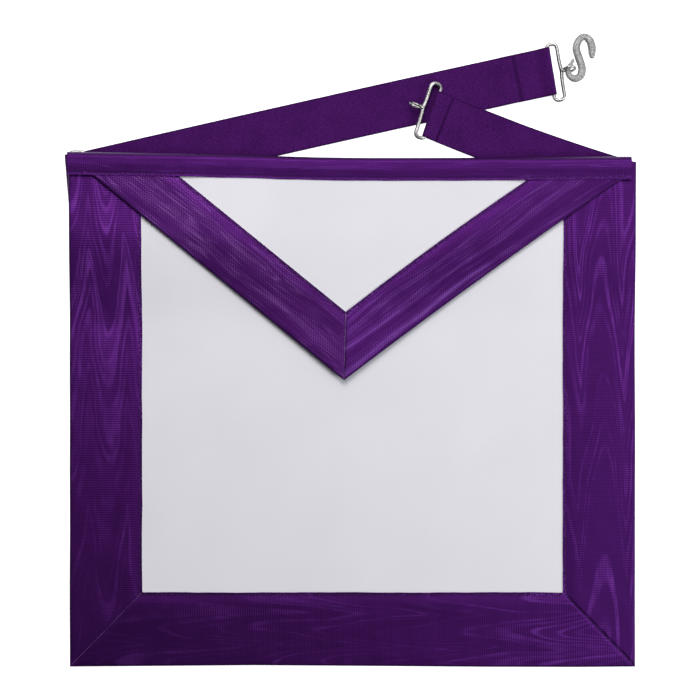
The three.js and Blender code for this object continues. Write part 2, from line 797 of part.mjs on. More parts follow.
const apron = new THREE.Group();
apron.add(
  piece("apron_panel", panelSheet(), "leather"),
  piece("border_left", sideRibbon(-1), "moire"),
  piece("border_right", sideRibbon(1), "moire"),
  piece("border_bottom", bottomRibbon(), "moire"),
  piece("waistband", waistRibbon(), "moire"),
  piece("flap_panel", flapSheet(), "leather"),
  piece("flap_ribbon_left", flapSide(-1), "moire"),
  piece("flap_ribbon_right", flapSide(1), "moire"),
);

const belt = new THREE.Group();
const adjuster = wireLoop(adjusterSpacing, slideLength, adjusterCorner, wireRadius);
belt.add(
  piece("belt_long", strapSolid(longStations()), "webbing"),
  piece("belt_short", strapSolid(shortStations()), "webbing"),
  placedSlide("adjuster_slide", adjuster, adjusterAxis, headings.longFold - 90, 0),
  placedSlide("hook_slide", slideWithEye(), hookAxis, headings.hookSlide, slideTilt),
  placedSlide("eye_slide", slideWithEye(), eyeAxis, headings.eyeSlide, slideTilt),
);

// The snake's tail hangs in the hook slide's eye, and its upper bend rests on the table
const hookThrough = hookAxis.clone();
hookThrough.addScaledVector(up.clone().cross(hookOut), slideOff);
const throughAt = eyeMiddle + tailOut;
hookThrough.addScaledVector(hookOut, throughAt * Math.cos(radians(slideTilt)));
hookThrough.z += throughAt * Math.sin(radians(slideTilt)) - tailDown;
const snakeTop = Math.max(...snake.map(({ along }) => along)) * hookLength;
const topHeight = (hookBar * hookFlatness) / 2 + gap / 3;
const snakeHook = piece("snake_hook", snakeSolid(), "castSilver");
snakeHook.rotation.x = -Math.asin(clamp((hookThrough.z - topHeight) / snakeTop, 0, 0.5));
snakeHook.position.copy(hookThrough);
belt.add(snakeHook);

// The model's origin is the middle of the panel's back, which lies on the table
const model = new THREE.Group();
model.add(apron, belt);

export default model;
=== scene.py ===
# A lodge apron as it lies on a table, dressed for rendering. Sizes are in millimetres until a mesh is
# made. +X is to the apron's right as it lies, +Y is up to its waist, and z = 0 is the table.
import math

import bpy
import numpy as np
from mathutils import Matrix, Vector


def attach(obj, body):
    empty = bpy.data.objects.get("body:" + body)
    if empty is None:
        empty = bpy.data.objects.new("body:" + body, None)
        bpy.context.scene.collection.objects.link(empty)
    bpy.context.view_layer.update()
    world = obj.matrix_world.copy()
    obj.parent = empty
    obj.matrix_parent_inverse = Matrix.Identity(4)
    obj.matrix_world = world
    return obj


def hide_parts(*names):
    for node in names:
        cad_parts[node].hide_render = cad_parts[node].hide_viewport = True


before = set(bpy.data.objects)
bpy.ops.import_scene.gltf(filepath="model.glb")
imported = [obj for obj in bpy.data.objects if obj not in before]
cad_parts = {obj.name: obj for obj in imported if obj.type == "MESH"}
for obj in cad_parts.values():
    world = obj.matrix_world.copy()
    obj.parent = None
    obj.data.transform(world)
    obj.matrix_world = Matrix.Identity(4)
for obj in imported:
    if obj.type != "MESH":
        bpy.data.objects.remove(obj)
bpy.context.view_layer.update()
print("frame loaded,", len(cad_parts), "nodes")

mm = 0.001

# The camera, straight above the apron
camera = {
    "lens": 100,
    "width": 492.5,  # what the picture takes in at the table
    "middle": (-1.76, 41.9),
}

cameraData = bpy.data.cameras.new("camera")
cameraData.lens = camera["lens"]
cameraData.clip_end = 20
cameraStand = bpy.data.objects.new("camera", cameraData)
cameraHeight = camera["width"] * camera["lens"] / cameraData.sensor_width
cameraStand.location = Vector((*camera["middle"], cameraHeight)) * mm
bpy.context.scene.collection.objects.link(cameraStand)
bpy.context.scene.camera = cameraStand
print("camera placed")


# Numbers

def ease(value, start, end):
    share = np.clip((value - start) / (end - start), 0.0, 1.0)
    return share * share * (3 - 2 * share)


def mix(low, high, share):
    return low + (high - low) * share


def unit(vectors):
    return vectors / np.linalg.norm(vectors, axis=-1, keepdims=True)


def heading(degrees):
    return np.array([math.cos(math.radians(degrees)), math.sin(math.radians(degrees)), 0.0])


# What irregular waves are made of: each runs in its own direction, in radians from the seed's
rippleWaves = [
    {"turn": 0.4, "length": 1.0, "strength": 1.0},
    {"turn": 2.5, "length": 0.63, "strength": 0.6},
    {"turn": 4.3, "length": 0.41, "strength": 0.4},
    {"turn": 5.6, "length": 0.27, "strength": 0.25},
]
rippleSeedTurn = 1.3
rippleTop = 1.7  # what they rarely pass together


# Smooth irregular waves between about -1 and 1
def ripple(across, along, size, seed):
    total = 0.0
    for wave in rippleWaves:
        angle = wave["turn"] + seed * rippleSeedTurn
        way = across * math.cos(angle) + along * math.sin(angle)
        phase = 2 * math.pi * way / (size * wave["length"]) + seed * wave["turn"]
        total = total + wave["strength"] * np.sin(phase)
    return total / rippleTop


# Points at shares of the way along a line whose points are evenly numbered
def alongLine(line, shares):
    line = np.asarray(line, float)
    places = np.asarray(shares) * (len(line) - 1)
    numbers = np.arange(len(line))
    return np.stack([np.interp(places, numbers, line[:, k]) for k in range(line.shape[1])], -1)


# Points at set distances along a line
def alongPath(line, distances):
    run = np.linalg.norm(np.diff(line, axis=0), axis=1)
    travelled = np.concatenate([[0.0], np.cumsum(run)])
    return np.stack([np.interp(distances, travelled, line[:, k]) for k in range(line.shape[1])], -1)


def pathLength(line):
    return np.linalg.norm(np.diff(line, axis=0), axis=1).sum()


# Points turned about the X axis, by an angle in radians
def rolled(points, angle):
    return np.stack([
        points[..., 0],
        points[..., 1] * math.cos(angle) - points[..., 2] * math.sin(angle),
        points[..., 1] * math.sin(angle) + points[..., 2] * math.cos(angle),
    ], -1)


# Meshes

sharpFrom = 50  # degrees between two faces


# Makes a piece from points in millimetres, with its faces turned outward. cloth holds each point's place
# on its cloth, which the patterns follow.
def newPiece(name, points, faces, material, cloth=None):
    points = np.asarray(points, float).reshape(-1, 3)
    volume = 0.0
    for block in faces:
        for second, third in ((1, 2), (2, 3)) if block.shape[1] == 4 else ((1, 2),):
            a, b, c = (points[block[:, k]] for k in (0, second, third))
            volume += np.einsum("ij,ij->", a, np.cross(b, c))
    if volume < 0:
        faces = [block[:, ::-1] for block in faces]
    mesh = bpy.data.meshes.new(name)
    mesh.from_pydata((points * mm).tolist(), [], [face for block in faces for face in block.tolist()])
    if cloth is not None:
        places = mesh.attributes.new("cloth", "FLOAT_VECTOR", "POINT")
        places.data.foreach_set("vector", np.ascontiguousarray(cloth, np.float32).ravel())
    mesh.shade_smooth()
    mesh.set_sharp_from_angle(angle=math.radians(sharpFrom))
    mesh.materials.append(material)
    piece = bpy.data.objects.new(name, mesh)
    bpy.context.scene.collection.objects.link(piece)
    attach(piece, "root")
    return piece


# A closed wall from the points of its two faces, which are in rows and columns
def newWall(name, upper, lower, cloth, material):
    rows, columns = upper.shape[:2]
    count = rows * columns
    grid = np.arange(count).reshape(rows, columns)
    a, b, c, d = grid[:-1, :-1], grid[1:, :-1], grid[1:, 1:], grid[:-1, 1:]
    over = np.stack([a, b, c, d], -1).reshape(-1, 4)
    under = np.stack([a, d, c, b], -1).reshape(-1, 4) + count
    rim = np.concatenate([grid[0], grid[1:, -1], grid[-1, ::-1][1:], grid[::-1, 0][1:]])
    sides = np.stack([rim[:-1], rim[:-1] + count, rim[1:] + count, rim[1:]], -1)
    points = np.concatenate([upper.reshape(-1, 3), lower.reshape(-1, 3)])
    places = np.concatenate([cloth.reshape(-1, 3), cloth.reshape(-1, 3)])
    return newPiece(name, points, [over, under, sides], material, places)


# The faces of a tube that is numbered ring by ring. A closed tube joins its last ring to its first.
def tubeFaces(rings, sides, closed, start=0):
    ring = np.arange(rings if closed else rings - 1)[:, None] * sides
    side = np.arange(sides)[None, :]
    beside = (side + 1) % sides
    ahead = (ring + sides) % (rings * sides)
    walls = np.stack([ring + side, ahead + side, ahead + beside, ring + beside], -1)
    blocks = [walls.reshape(-1, 4) + start]
    if not closed:
        fan = np.arange(1, sides - 1)
        last = (rings - 1) * sides
        blocks.append(np.stack([0 * fan, fan, fan + 1], -1) + start)
        blocks.append(np.stack([0 * fan, fan + 1, fan], -1) + start + last)
    return blocks


# The rings of a round wire along a path, turning as little as they can
def wireRings(path, radius, sides, closed):
    ahead = np.roll(path, -1, 0) - np.roll(path, 1, 0)
    if not closed:
        ahead[0] = path[1] - path[0]
        ahead[-1] = path[-1] - path[-2]
    ahead = unit(ahead)
    side = np.cross(ahead[0], [0.0, 0.0, 1.0])
    if np.linalg.norm(side) < 0.1:
        side = np.array([1.0, 0.0, 0.0])
    sideways = []
    for way in ahead:
        side = side - way * np.dot(side, way)
        side = side / np.linalg.norm(side)
        sideways.append(side)
    sideways = np.array(sideways)
    upward = np.cross(ahead, sideways)
    angle = np.linspace(0, 2 * math.pi, sides, endpoint=False)[None, :, None]
    radius = np.broadcast_to(radius, len(path))[:, None, None]
    around = sideways[:, None] * np.cos(angle) + upward[:, None] * np.sin(angle)
    return path[:, None] + around * radius


# Materials

def srgb(code):
    values = [int(code[k:k + 2], 16) / 255 for k in (1, 3, 5)]
    return [v / 12.92 if v <= 0.04045 else ((v + 0.055) / 1.055) ** 2.4 for v in values] + [1.0]


# Adds a node with its settings and inputs, and gives back the output that is asked for, or the node
def addNode(tree, kind, settings=None, inputs=None, out=0):
    node = tree.nodes.new("ShaderNode" + kind)
    for key, value in (settings or {}).items():
        setattr(node, key, value)
    for key, value in (inputs or {}).items():
        if isinstance(value, bpy.types.NodeSocket):
            tree.links.new(value, node.inputs[key])
        else:
            node.inputs[key].default_value = value
    return node if out is None else node.outputs[out]


def newMaterial(name):
    material = bpy.data.materials.new(name)
    material.use_nodes = True
    material.node_tree.nodes.clear()
    return material, material.node_tree


# Acetate ribbon with a cross rib, watered: it is pressed damp against itself, so the ribs are crushed
# along a figure. The eye sees satin lines one inside the next, over fine ribbing.
watered = {
    "dark": "#140321",
    "field": "#2a0b3f",
    "gloss": "#c452ff",
    "ribPitch": 1.6,  # the real ribs are 0.9 mm apart, drawn coarser so that they show
    "hatchPitch": 1.9,  # across the ribbon, where ribs and threads show as a grid, drawn coarser too
    "threadPitch": 0.8,
    "threadLength": 15,
    "wanderWide": 30,  # the slow wandering of the figure, across the ribbon and along it
    "wanderLong": 85,
    "wanderAcross": 13.0,
    "tipRound": 0.012,
    "bandFrom": 0.3,  # levels of the figure, from 0 to 1
    "bandTo": 0.7,
    "lineStep": 0.06,
    "lineWidth": 0.35,
    "lineFaint": 0.09,
    "lineStrong": 0.18,  # where the ribs are crushed most
    "ribFaint": 0.025,
    "ribStrong": 0.09,  # on the lines
    "hatchFaint": 0.65,  # share of its strength where the ribs are crushed least
    "threads": 0.3,
    "crushScale": 0.06,  # crushed places in a millimetre
    "darkShade": 0.1,
    "fieldShade": 0.52,
    "selvage": 1.3,  # from the free edge to the middle of its dark band
    "selvageFull": 0.5,
    "selvageEnd": 2.1,
    "dotDark": -0.42,
    "dotLight": 0.12,
    # how far in from the fold the painted shade along it reaches, and how dark it is
    "foldWidth": 1.8,
    "foldPaintedShade": 0.45,
    "roughness": 0.4,
    "relief": 0.1,
    "seedAcross": 3.7,  # how far each seed shifts the patterns
    "seedAlong": 1.9,
    "seedFigure": 5.3,
}


# look tells the figure: where its tips are across the ribbon, how far apart, and how far it reaches;
# then how long and wide its forms are, how far it wanders, and how strong its lines, bands and grid are.
# The look also holds the places along the ribbon between which its colour darkens, and by how much:
# painted shade where less light reaches the ribbon.
def wateredRibbon(name, look):
    seed = look["seed"]
    period = look["period"]
    material, tree = newMaterial("watered acetate ribbon, " + name)
    place = addNode(tree, "Attribute", {"attribute_name": "cloth"}, out="Vector")
    split = addNode(tree, "SeparateXYZ", inputs={0: place}, out=None).outputs
    across, along, fromEdge = split[0], split[1], split[2]

    # The figure wanders, as the ribbon lay unevenly when it was pressed
    slow = addNode(tree, "VectorMath", {"operation": "MULTIPLY_ADD"}, {
        0: place, 1: (1 / watered["wanderWide"], 1 / watered["wanderLong"], 0),
        2: (seed * watered["seedAcross"], seed * watered["seedAlong"], seed),
    })
    wander = addNode(tree, "TexNoise", {}, {"Vector": slow, "Scale": 1.0, "Detail": 1.0}, out="Color")
    wanders = addNode(tree, "SeparateXYZ", inputs={0: wander}, out=None).outputs
    shifted = addNode(tree, "Math", {"operation": "MULTIPLY_ADD"},
                      {0: wanders[0], 1: watered["wanderAcross"], 2: across})
    firstTip = look["tips"] + watered["wanderAcross"] / 2
    turn = addNode(tree, "Math", {"operation": "MULTIPLY_ADD"},
                   {0: shifted, 1: math.pi / period, 2: -math.pi * firstTip / period})
    swing = addNode(tree, "Math", {"operation": "SINE"}, {0: turn})
    swingSquared = addNode(tree, "Math", {"operation": "MULTIPLY_ADD"},
                           {0: swing, 1: swing, 2: watered["tipRound"]})
    valley = addNode(tree, "Math", {"operation": "SQRT"}, {0: swingSquared})
    drawn = addNode(tree, "Math", {"operation": "MULTIPLY_ADD"}, {0: valley, 1: look["reach"], 2: along})
    uneven = addNode(tree, "Math", {"operation": "MULTIPLY_ADD"},
                     {0: wanders[1], 1: look["wander"], 2: drawn})
    lengthwise = addNode(tree, "Math", {"operation": "DIVIDE"}, {0: uneven, 1: look["length"]})
    sideways = addNode(tree, "Math", {"operation": "DIVIDE"}, {0: shifted, 1: look["width"]})
    figurePlace = addNode(tree, "CombineXYZ", inputs={0: lengthwise, 1: sideways,
                                                      2: seed * watered["seedFigure"]})
    figure = addNode(tree, "TexNoise", {}, {"Vector": figurePlace, "Scale": 1.0, "Detail": 1.4,
                                            "Roughness": 0.45})

    # Thin lines along the figure's levels, with broad lighter and darker bands between them
    folded = addNode(tree, "Math", {"operation": "PINGPONG"}, {0: figure, 1: watered["lineStep"]})
    line = addNode(tree, "MapRange", {"interpolation_type": "SMOOTHERSTEP"},
                   {"Value": folded, "From Min": watered["lineStep"] * watered["lineWidth"],
                    "From Max": watered["lineStep"]})
    band = addNode(tree, "MapRange", {}, {"Value": figure, "From Min": watered["bandFrom"],
                                          "From Max": watered["bandTo"]})
    crushed = addNode(tree, "TexNoise", {}, {"Vector": place, "Scale": watered["crushScale"],
                                             "Detail": 2.5})
    strength = addNode(tree, "MapRange", {}, {"Value": crushed, "From Min": 0.38, "From Max": 0.62,
                                              "To Min": watered["lineFaint"] * look["lines"],
                                              "To Max": watered["lineStrong"] * look["lines"]})

    # Ribs across the ribbon show most on the lines, and cross the threads along it
    turns = addNode(tree, "Math", {"operation": "MULTIPLY"},
                    {0: along, 1: 2 * math.pi / watered["ribPitch"]})
    rib = addNode(tree, "Math", {"operation": "SINE"}, {0: turns})
    crossTurns = addNode(tree, "Math", {"operation": "MULTIPLY"},
                         {0: across, 1: 2 * math.pi / watered["hatchPitch"]})
    cross = addNode(tree, "Math", {"operation": "SINE"}, {0: crossTurns})
    hatch = addNode(tree, "Math", {"operation": "MULTIPLY"}, {0: rib, 1: cross})
    ribStrength = addNode(tree, "MapRange", {}, {"Value": line, "To Min": watered["ribFaint"],
                                                 "To Max": watered["ribStrong"]})
    hatchStrength = addNode(tree, "MapRange", {}, {"Value": crushed, "From Min": 0.4, "From Max": 0.6,
                                                   "To Min": look["hatch"] * watered["hatchFaint"],
                                                   "To Max": look["hatch"]})
    threadPlace = addNode(tree, "VectorMath", {"operation": "MULTIPLY"}, {
        0: place, 1: (1 / watered["threadPitch"], 1 / watered["threadLength"], 0),
    })
    threads = addNode(tree, "TexNoise", {}, {"Vector": threadPlace, "Scale": 1.0, "Detail": 1.0})

    # How light each place is: each pattern adds its own strength to the shade of the one before
    shade = watered["darkShade"]
    for shown, strong in ((line, strength), (band, look["bands"]), (rib, ribStrength),
                          (hatch, hatchStrength), (threads, watered["threads"])):
        shade = addNode(tree, "Math", {"operation": "MULTIPLY_ADD"}, {0: shown, 1: strong, 2: shade})

    # The stitched edge is darker, with its selvage threads showing as dots
    edge = addNode(tree, "Math", {"operation": "SUBTRACT"}, {0: fromEdge, 1: watered["selvage"]})
    edgeAway = addNode(tree, "Math", {"operation": "ABSOLUTE"}, {0: edge})
    edgeBand = addNode(tree, "MapRange", {"interpolation_type": "SMOOTHSTEP"},
                       {"Value": edgeAway, "From Min": watered["selvageFull"],
                        "From Max": watered["selvageEnd"], "To Min": 1.0, "To Max": 0.0})
    dots = addNode(tree, "TexNoise", {}, {"Vector": place, "Scale": 0.8, "Detail": 0.0})
    dotShade = addNode(tree, "MapRange", {}, {"Value": dots, "From Min": 0.35, "From Max": 0.6,
                                              "To Min": watered["dotDark"], "To Max": watered["dotLight"]})
    edged = addNode(tree, "Math", {"operation": "MULTIPLY_ADD"}, {0: edgeBand, 1: dotShade, 2: shade})

    # The folded edge is darkened: painted shade where the fold curves away from the light
    paintedFoldShade = addNode(tree, "MapRange", {}, {"Value": across, "From Min": 0.0,
                                               "From Max": watered["foldWidth"],
                                               "To Min": -watered["foldPaintedShade"], "To Max": 0.0})
    shade = addNode(tree, "Math", {"operation": "ADD"}, {0: edged, 1: paintedFoldShade})

    lower = addNode(tree, "MapRange", {}, {"Value": shade, "From Min": watered["darkShade"],
                                           "From Max": watered["fieldShade"]})
    upper = addNode(tree, "MapRange", {}, {"Value": shade, "From Min": watered["fieldShade"],
                                           "From Max": 1.0})
    ground = addNode(tree, "Mix", {"data_type": "RGBA"},
                     {0: lower, 6: srgb(watered["dark"]), 7: srgb(watered["field"])}, out=2)
    pattern = addNode(tree, "Mix", {"data_type": "RGBA"},
                      {0: upper, 6: ground, 7: srgb(look["light"])}, out=2)
    # The colour darkens along the ribbon: painted shade towards where less light falls
    paintedShadeStart, paintedShadeEnd, paintedShadeBy = look["paintedShadeAlong"]
    kept = addNode(tree, "MapRange", {}, {"Value": along, "From Min": paintedShadeStart, "From Max": paintedShadeEnd,
                                          "To Min": 1.0, "To Max": 1 - paintedShadeBy})
    colour = addNode(tree, "VectorMath", {"operation": "SCALE"}, {0: pattern, "Scale": kept})
    polish = addNode(tree, "MapRange", {}, {"Value": shade, "From Min": 0.2, "From Max": 0.9,
                                            "To Min": watered["roughness"] + 0.12,
                                            "To Max": watered["roughness"] - 0.06})
    height = addNode(tree, "Math", {"operation": "MULTIPLY_ADD"}, {0: threads, 1: 0.6, 2: rib})
    bump = addNode(tree, "Bump", {}, {"Height": height, "Strength": 0.3,
                                      "Distance": watered["relief"] * mm})
    shader = addNode(tree, "BsdfPrincipled", {}, {
        "Base Color": colour, "Roughness": polish, "Normal": bump, "IOR": 1.47,
        "Specular IOR Level": 1.0, "Specular Tint": srgb(watered["gloss"]),
    })
    addNode(tree, "OutputMaterial", inputs={"Surface": shader}, out=None)
    return material


# White leather cloth: cotton with an embossed vinyl coat. It is smooth and satin, with fine grain.
leatherCloth = {
    "light": "#dad9df",
    "dark": "#d6d5dc",
    "grain": 0.9,  # real grain is about 0.5 mm, drawn coarser so that it shows
    "cloud": 60,  # millimetres across
    "specks": 1.4,  # in a millimetre
    "relief": 0.06,
    "roughness": 0.46,
}


def whiteLeatherCloth():
    look = leatherCloth
    material, tree = newMaterial("white leather cloth, embossed")
    place = addNode(tree, "Attribute", {"attribute_name": "cloth"}, out="Vector")
    grain = addNode(tree, "TexVoronoi", {"feature": "SMOOTH_F1"},
                    {"Vector": place, "Scale": 1 / look["grain"], "Smoothness": 0.6})
    cloudy = addNode(tree, "TexNoise", {}, {"Vector": place, "Scale": 1 / look["cloud"], "Detail": 3.0})
    fine = addNode(tree, "TexNoise", {}, {"Vector": place, "Scale": look["specks"], "Detail": 2.0})
    soil = addNode(tree, "Math", {"operation": "MULTIPLY_ADD"}, {0: fine, 1: 0.35, 2: cloudy})
    share = addNode(tree, "MapRange", {}, {"Value": soil, "From Min": 0.45, "From Max": 0.9})
    colour = addNode(tree, "Mix", {"data_type": "RGBA"},
                     {0: share, 6: srgb(look["dark"]), 7: srgb(look["light"])}, out=2)
    polish = addNode(tree, "MapRange", {}, {"Value": grain, "From Min": 0.0, "From Max": 0.6,
                                            "To Min": look["roughness"] - 0.05,
                                            "To Max": look["roughness"] + 0.08})
    bump = addNode(tree, "Bump", {}, {"Height": grain, "Strength": 0.35,
                                      "Distance": look["relief"] * mm})
    shader = addNode(tree, "BsdfPrincipled", {}, {
        "Base Color": colour, "Roughness": polish, "Normal": bump, "IOR": 1.5, "Specular IOR Level": 0.4,
    })
    addNode(tree, "OutputMaterial", inputs={"Surface": shader}, out=None)
    return material


# Polypropylene webbing, plain woven: matt, with a small square grid of thread crossings
webbing = {
    "dark": "#270836",
    "light": "#491760",
    "gloss": "#9a4ccf",
    "threadPitch": 1.5,  # real threads are 0.8 mm apart, drawn coarser so that they show
    "alongShare": 0.8,  # its crossings are this much sparser along it than across it
    "fuzzAcross": 1.1,  # threads in a millimetre
    "fuzzLength": 2.2,
    "cloud": 16,
    "edgeFull": 0.3,  # from the strap's edges and ends, which are darker, partly as painted shade at its ends, and from the line of painted shadow that a turned end lays on it
    "edgeEnd": 1.6,
    "edgeAndShadowDark": 0.35,
    "relief": 0.16,
    "roughness": 0.72,
}


def wovenWebbing():
    look = webbing
    material, tree = newMaterial("polypropylene webbing, plain woven")
    place = addNode(tree, "Attribute", {"attribute_name": "cloth"}, out="Vector")
    split = addNode(tree, "SeparateXYZ", inputs={0: place}, out=None).outputs
    turn = 2 * math.pi / look["threadPitch"]
    overTurns = addNode(tree, "Math", {"operation": "MULTIPLY"}, {0: split[0], 1: turn})
    alongTurns = addNode(tree, "Math", {"operation": "MULTIPLY"},
                         {0: split[1], 1: turn * look["alongShare"]})
    over = addNode(tree, "Math", {"operation": "SINE"}, {0: overTurns})
    along = addNode(tree, "Math", {"operation": "SINE"}, {0: alongTurns})
    crossing = addNode(tree, "Math", {"operation": "MULTIPLY"}, {0: over, 1: along})
    stretched = addNode(tree, "VectorMath", {"operation": "MULTIPLY"},
                        {0: place, 1: (look["fuzzAcross"], 1 / look["fuzzLength"], 0)})
    threads = addNode(tree, "TexNoise", {}, {"Vector": stretched, "Scale": 1.0, "Detail": 2.0})
    cloudy = addNode(tree, "TexNoise", {}, {"Vector": place, "Scale": 1 / look["cloud"], "Detail": 3.0})
    weave = addNode(tree, "Math", {"operation": "MULTIPLY_ADD"}, {0: crossing, 1: 0.17, 2: threads})
    worn = addNode(tree, "Math", {"operation": "MULTIPLY_ADD"}, {0: cloudy, 1: 0.4, 2: weave})
    # Darker at the strap's edges and ends, and along a line of painted shadow where a turned end lies on
    # it
    edge = addNode(tree, "MapRange", {"interpolation_type": "SMOOTHSTEP"},
                   {"Value": split[2], "From Min": look["edgeFull"], "From Max": look["edgeEnd"],
                    "To Min": -look["edgeAndShadowDark"], "To Max": 0.0})
    shade = addNode(tree, "Math", {"operation": "ADD"}, {0: worn, 1: edge})
    share = addNode(tree, "MapRange", {}, {"Value": shade, "From Min": 0.35, "From Max": 1.1})
    colour = addNode(tree, "Mix", {"data_type": "RGBA"},
                     {0: share, 6: srgb(look["dark"]), 7: srgb(look["light"])}, out=2)
    height = addNode(tree, "Math", {"operation": "MULTIPLY_ADD"}, {0: threads, 1: 0.4, 2: crossing})
    bump = addNode(tree, "Bump", {}, {"Height": height, "Strength": 0.6,
                                      "Distance": look["relief"] * mm})
    shader = addNode(tree, "BsdfPrincipled", {}, {
        "Base Color": colour, "Roughness": look["roughness"], "Normal": bump, "IOR": 1.49,
        "Specular IOR Level": 0.5, "Specular Tint": srgb(look["gloss"]),
    })
    addNode(tree, "OutputMaterial", inputs={"Surface": shader}, out=None)
    return material


# Polyester sewing thread, twisted: a slight gloss on small rounded stitches
thread = {
    "purple": "#1e0630",
    # a light tone for the mitre's turned edge, a painted highlight
    "highlightLilac": "#674080",
    "twist": 1.2,  # changes of shade in a millimetre
    "roughness": 0.5,
}


def sewingThread(name):
    material, tree = newMaterial("polyester sewing thread, " + name)
    place = addNode(tree, "TexCoord", out="Object")
    twist = addNode(tree, "TexNoise", {}, {"Vector": place, "Scale": thread["twist"] / mm, "Detail": 1.0})
    share = addNode(tree, "MapRange", {}, {"Value": twist, "From Min": 0.3, "From Max": 0.7,
                                           "To Min": 0.7, "To Max": 1.15})
    colour = addNode(tree, "VectorMath", {"operation": "SCALE"},
                     {0: srgb(thread[name])[:3], "Scale": share})
    shader = addNode(tree, "BsdfPrincipled", {}, {
        "Base Color": colour, "Roughness": thread["roughness"], "IOR": 1.53, "Specular IOR Level": 0.4,
    })
    addNode(tree, "OutputMaterial", inputs={"Surface": shader}, out=None)
    return material


# Nickel-plated steel wire, drawn and barrel polished: bright, with fine scuffs that blur its glints
plated = {
    "bright": "#b8b7b6",
    "dull": "#a09f9e",
    "edge": "#3c3c3c",  # darker where it curves away
    "smooth": 0.3,
    "scuffed": 0.4,
    "scuffs": 0.9,  # in a millimetre
    "clouds": 0.14,
    "relief": 0.05,
}


def platedWire():
    material, tree = newMaterial("steel wire, nickel plated")
    place = addNode(tree, "TexCoord", out="Object")
    scuffs = addNode(tree, "TexNoise", {},
                     {"Vector": place, "Scale": plated["scuffs"] / mm, "Detail": 3.0})
    dull = addNode(tree, "TexNoise", {}, {"Vector": place, "Scale": plated["clouds"] / mm, "Detail": 2.0})
    share = addNode(tree, "MapRange", {}, {"Value": dull, "From Min": 0.35, "From Max": 0.7})
    colour = addNode(tree, "Mix", {"data_type": "RGBA"},
                     {0: share, 6: srgb(plated["bright"]), 7: srgb(plated["dull"])}, out=2)
    polish = addNode(tree, "MapRange", {}, {"Value": scuffs, "From Min": 0.3, "From Max": 0.7,
                                            "To Min": plated["smooth"], "To Max": plated["scuffed"]})
    bump = addNode(tree, "Bump", {}, {"Height": scuffs, "Strength": 0.15,
                                      "Distance": plated["relief"] * mm})
    shader = addNode(tree, "BsdfPrincipled", {}, {
        "Base Color": colour, "Metallic": 1.0, "Roughness": polish, "Normal": bump,
        "Specular Tint": srgb(plated["edge"]),
    })
    addNode(tree, "OutputMaterial", inputs={"Surface": shader}, out=None)
    return material


# Zinc casting, silver plated and antiqued: dark in the hollows of its scales, soft and bright on top
cast = {
    "bright": "#c0c0c0",
    "dark": "#969597",
    "edge": "#484848",
    "grit": 0.85,  # millimetres across
    "clouds": 0.35,  # in a millimetre
    "relief": 0.12,
    "smooth": 0.62,
    "rough": 0.72,
}


def castSilver():
    material, tree = newMaterial("zinc casting, silver plated and antiqued")
    place = addNode(tree, "TexCoord", out="Object")
    hollows = addNode(tree, "TexVoronoi", {"feature": "F1"},
                      {"Vector": place, "Scale": 1 / (cast["grit"] * mm)})
    cloudy = addNode(tree, "TexNoise", {}, {"Vector": place, "Scale": cast["clouds"] / mm, "Detail": 3.0})
    dark = addNode(tree, "Math", {"operation": "MULTIPLY_ADD"}, {0: cloudy, 1: 0.5, 2: hollows})
    share = addNode(tree, "MapRange", {}, {"Value": dark, "From Min": 0.4, "From Max": 1.0})
    colour = addNode(tree, "Mix", {"data_type": "RGBA"},
                     {0: share, 6: srgb(cast["bright"]), 7: srgb(cast["dark"])}, out=2)
    polish = addNode(tree, "MapRange", {}, {"Value": share, "To Min": cast["smooth"],
                                            "To Max": cast["rough"]})
    inverse = addNode(tree, "Math", {"operation": "SUBTRACT"}, {0: 1.0, 1: hollows})
    bump = addNode(tree, "Bump", {}, {"Height": inverse, "Strength": 0.55,
                                      "Distance": cast["relief"] * mm})
    shader = addNode(tree, "BsdfPrincipled", {}, {
        "Base Color": colour, "Metallic": 1.0, "Roughness": polish, "Normal": bump,
        "Specular Tint": srgb(cast["edge"]),
    })
    addNode(tree, "OutputMaterial", inputs={"Surface": shader}, out=None)
    return material


cloth = whiteLeatherCloth()
purpleThread = sewingThread("purple")
print("plain materials made")


# The apron's outline and its layers, as they are in the frame

apron = {
    "width": 397.4,
    "height": 361,
    "sideBorder": 50.8,
    "bottomBorder": 52,
    "hem": 12,  # of the borders, behind the panel
    "drapeLength": 68,  # below the belt, where the panel comes down to the table
    "sagLength": 90,  # beside the straps' sewn ends, where it comes down between them
    "underSewn": 6,  # how far it stays up past them
}
layer = 1.0
gap = 0.3
ribbonWall = 0.6  # real ribbon is 0.3 mm, kept thicker so that its edges show
ribbonRoom = 0.04  # under a ribbon that is pressed down
halfWidth = apron["width"] / 2
bottomEdge = -apron["height"] / 2
borderHigh = 2 * layer + gap
flapLow = borderHigh + gap
flapHigh = flapLow + layer
flapRibbonHigh = flapHigh + gap + layer

waist = {
    "height": 16.2,
    "turned": 15,  # behind the panel
    "low": -gap - layer,
    "highSides": flapRibbonHigh + gap + layer,
    "highMiddle": flapHigh + gap + layer,
    "sag": 3.8,  # of its top edge, where it hangs lowest
    "acrossAt": [-1, -0.58, -0.33, -0.12, 0.05, 0.4, 1],  # shares of the half width
    "sagAt": [0, 0.35, 0.59, 0.9, 1, 1, 0.79],
    "pastLeft": 0.6,  # how far it reaches past the panel's left edge
    "shortRight": 3.5,  # and how far it ends before the right one
    "dip": 20,  # where it comes down beside the flap's ribbons
    "rows": 300,
    "freeWander": 0.12,
    "freeWanderSize": 40,
    "room": 0.05,  # under its pressed edge
    "stitchIn": 2.1,
}
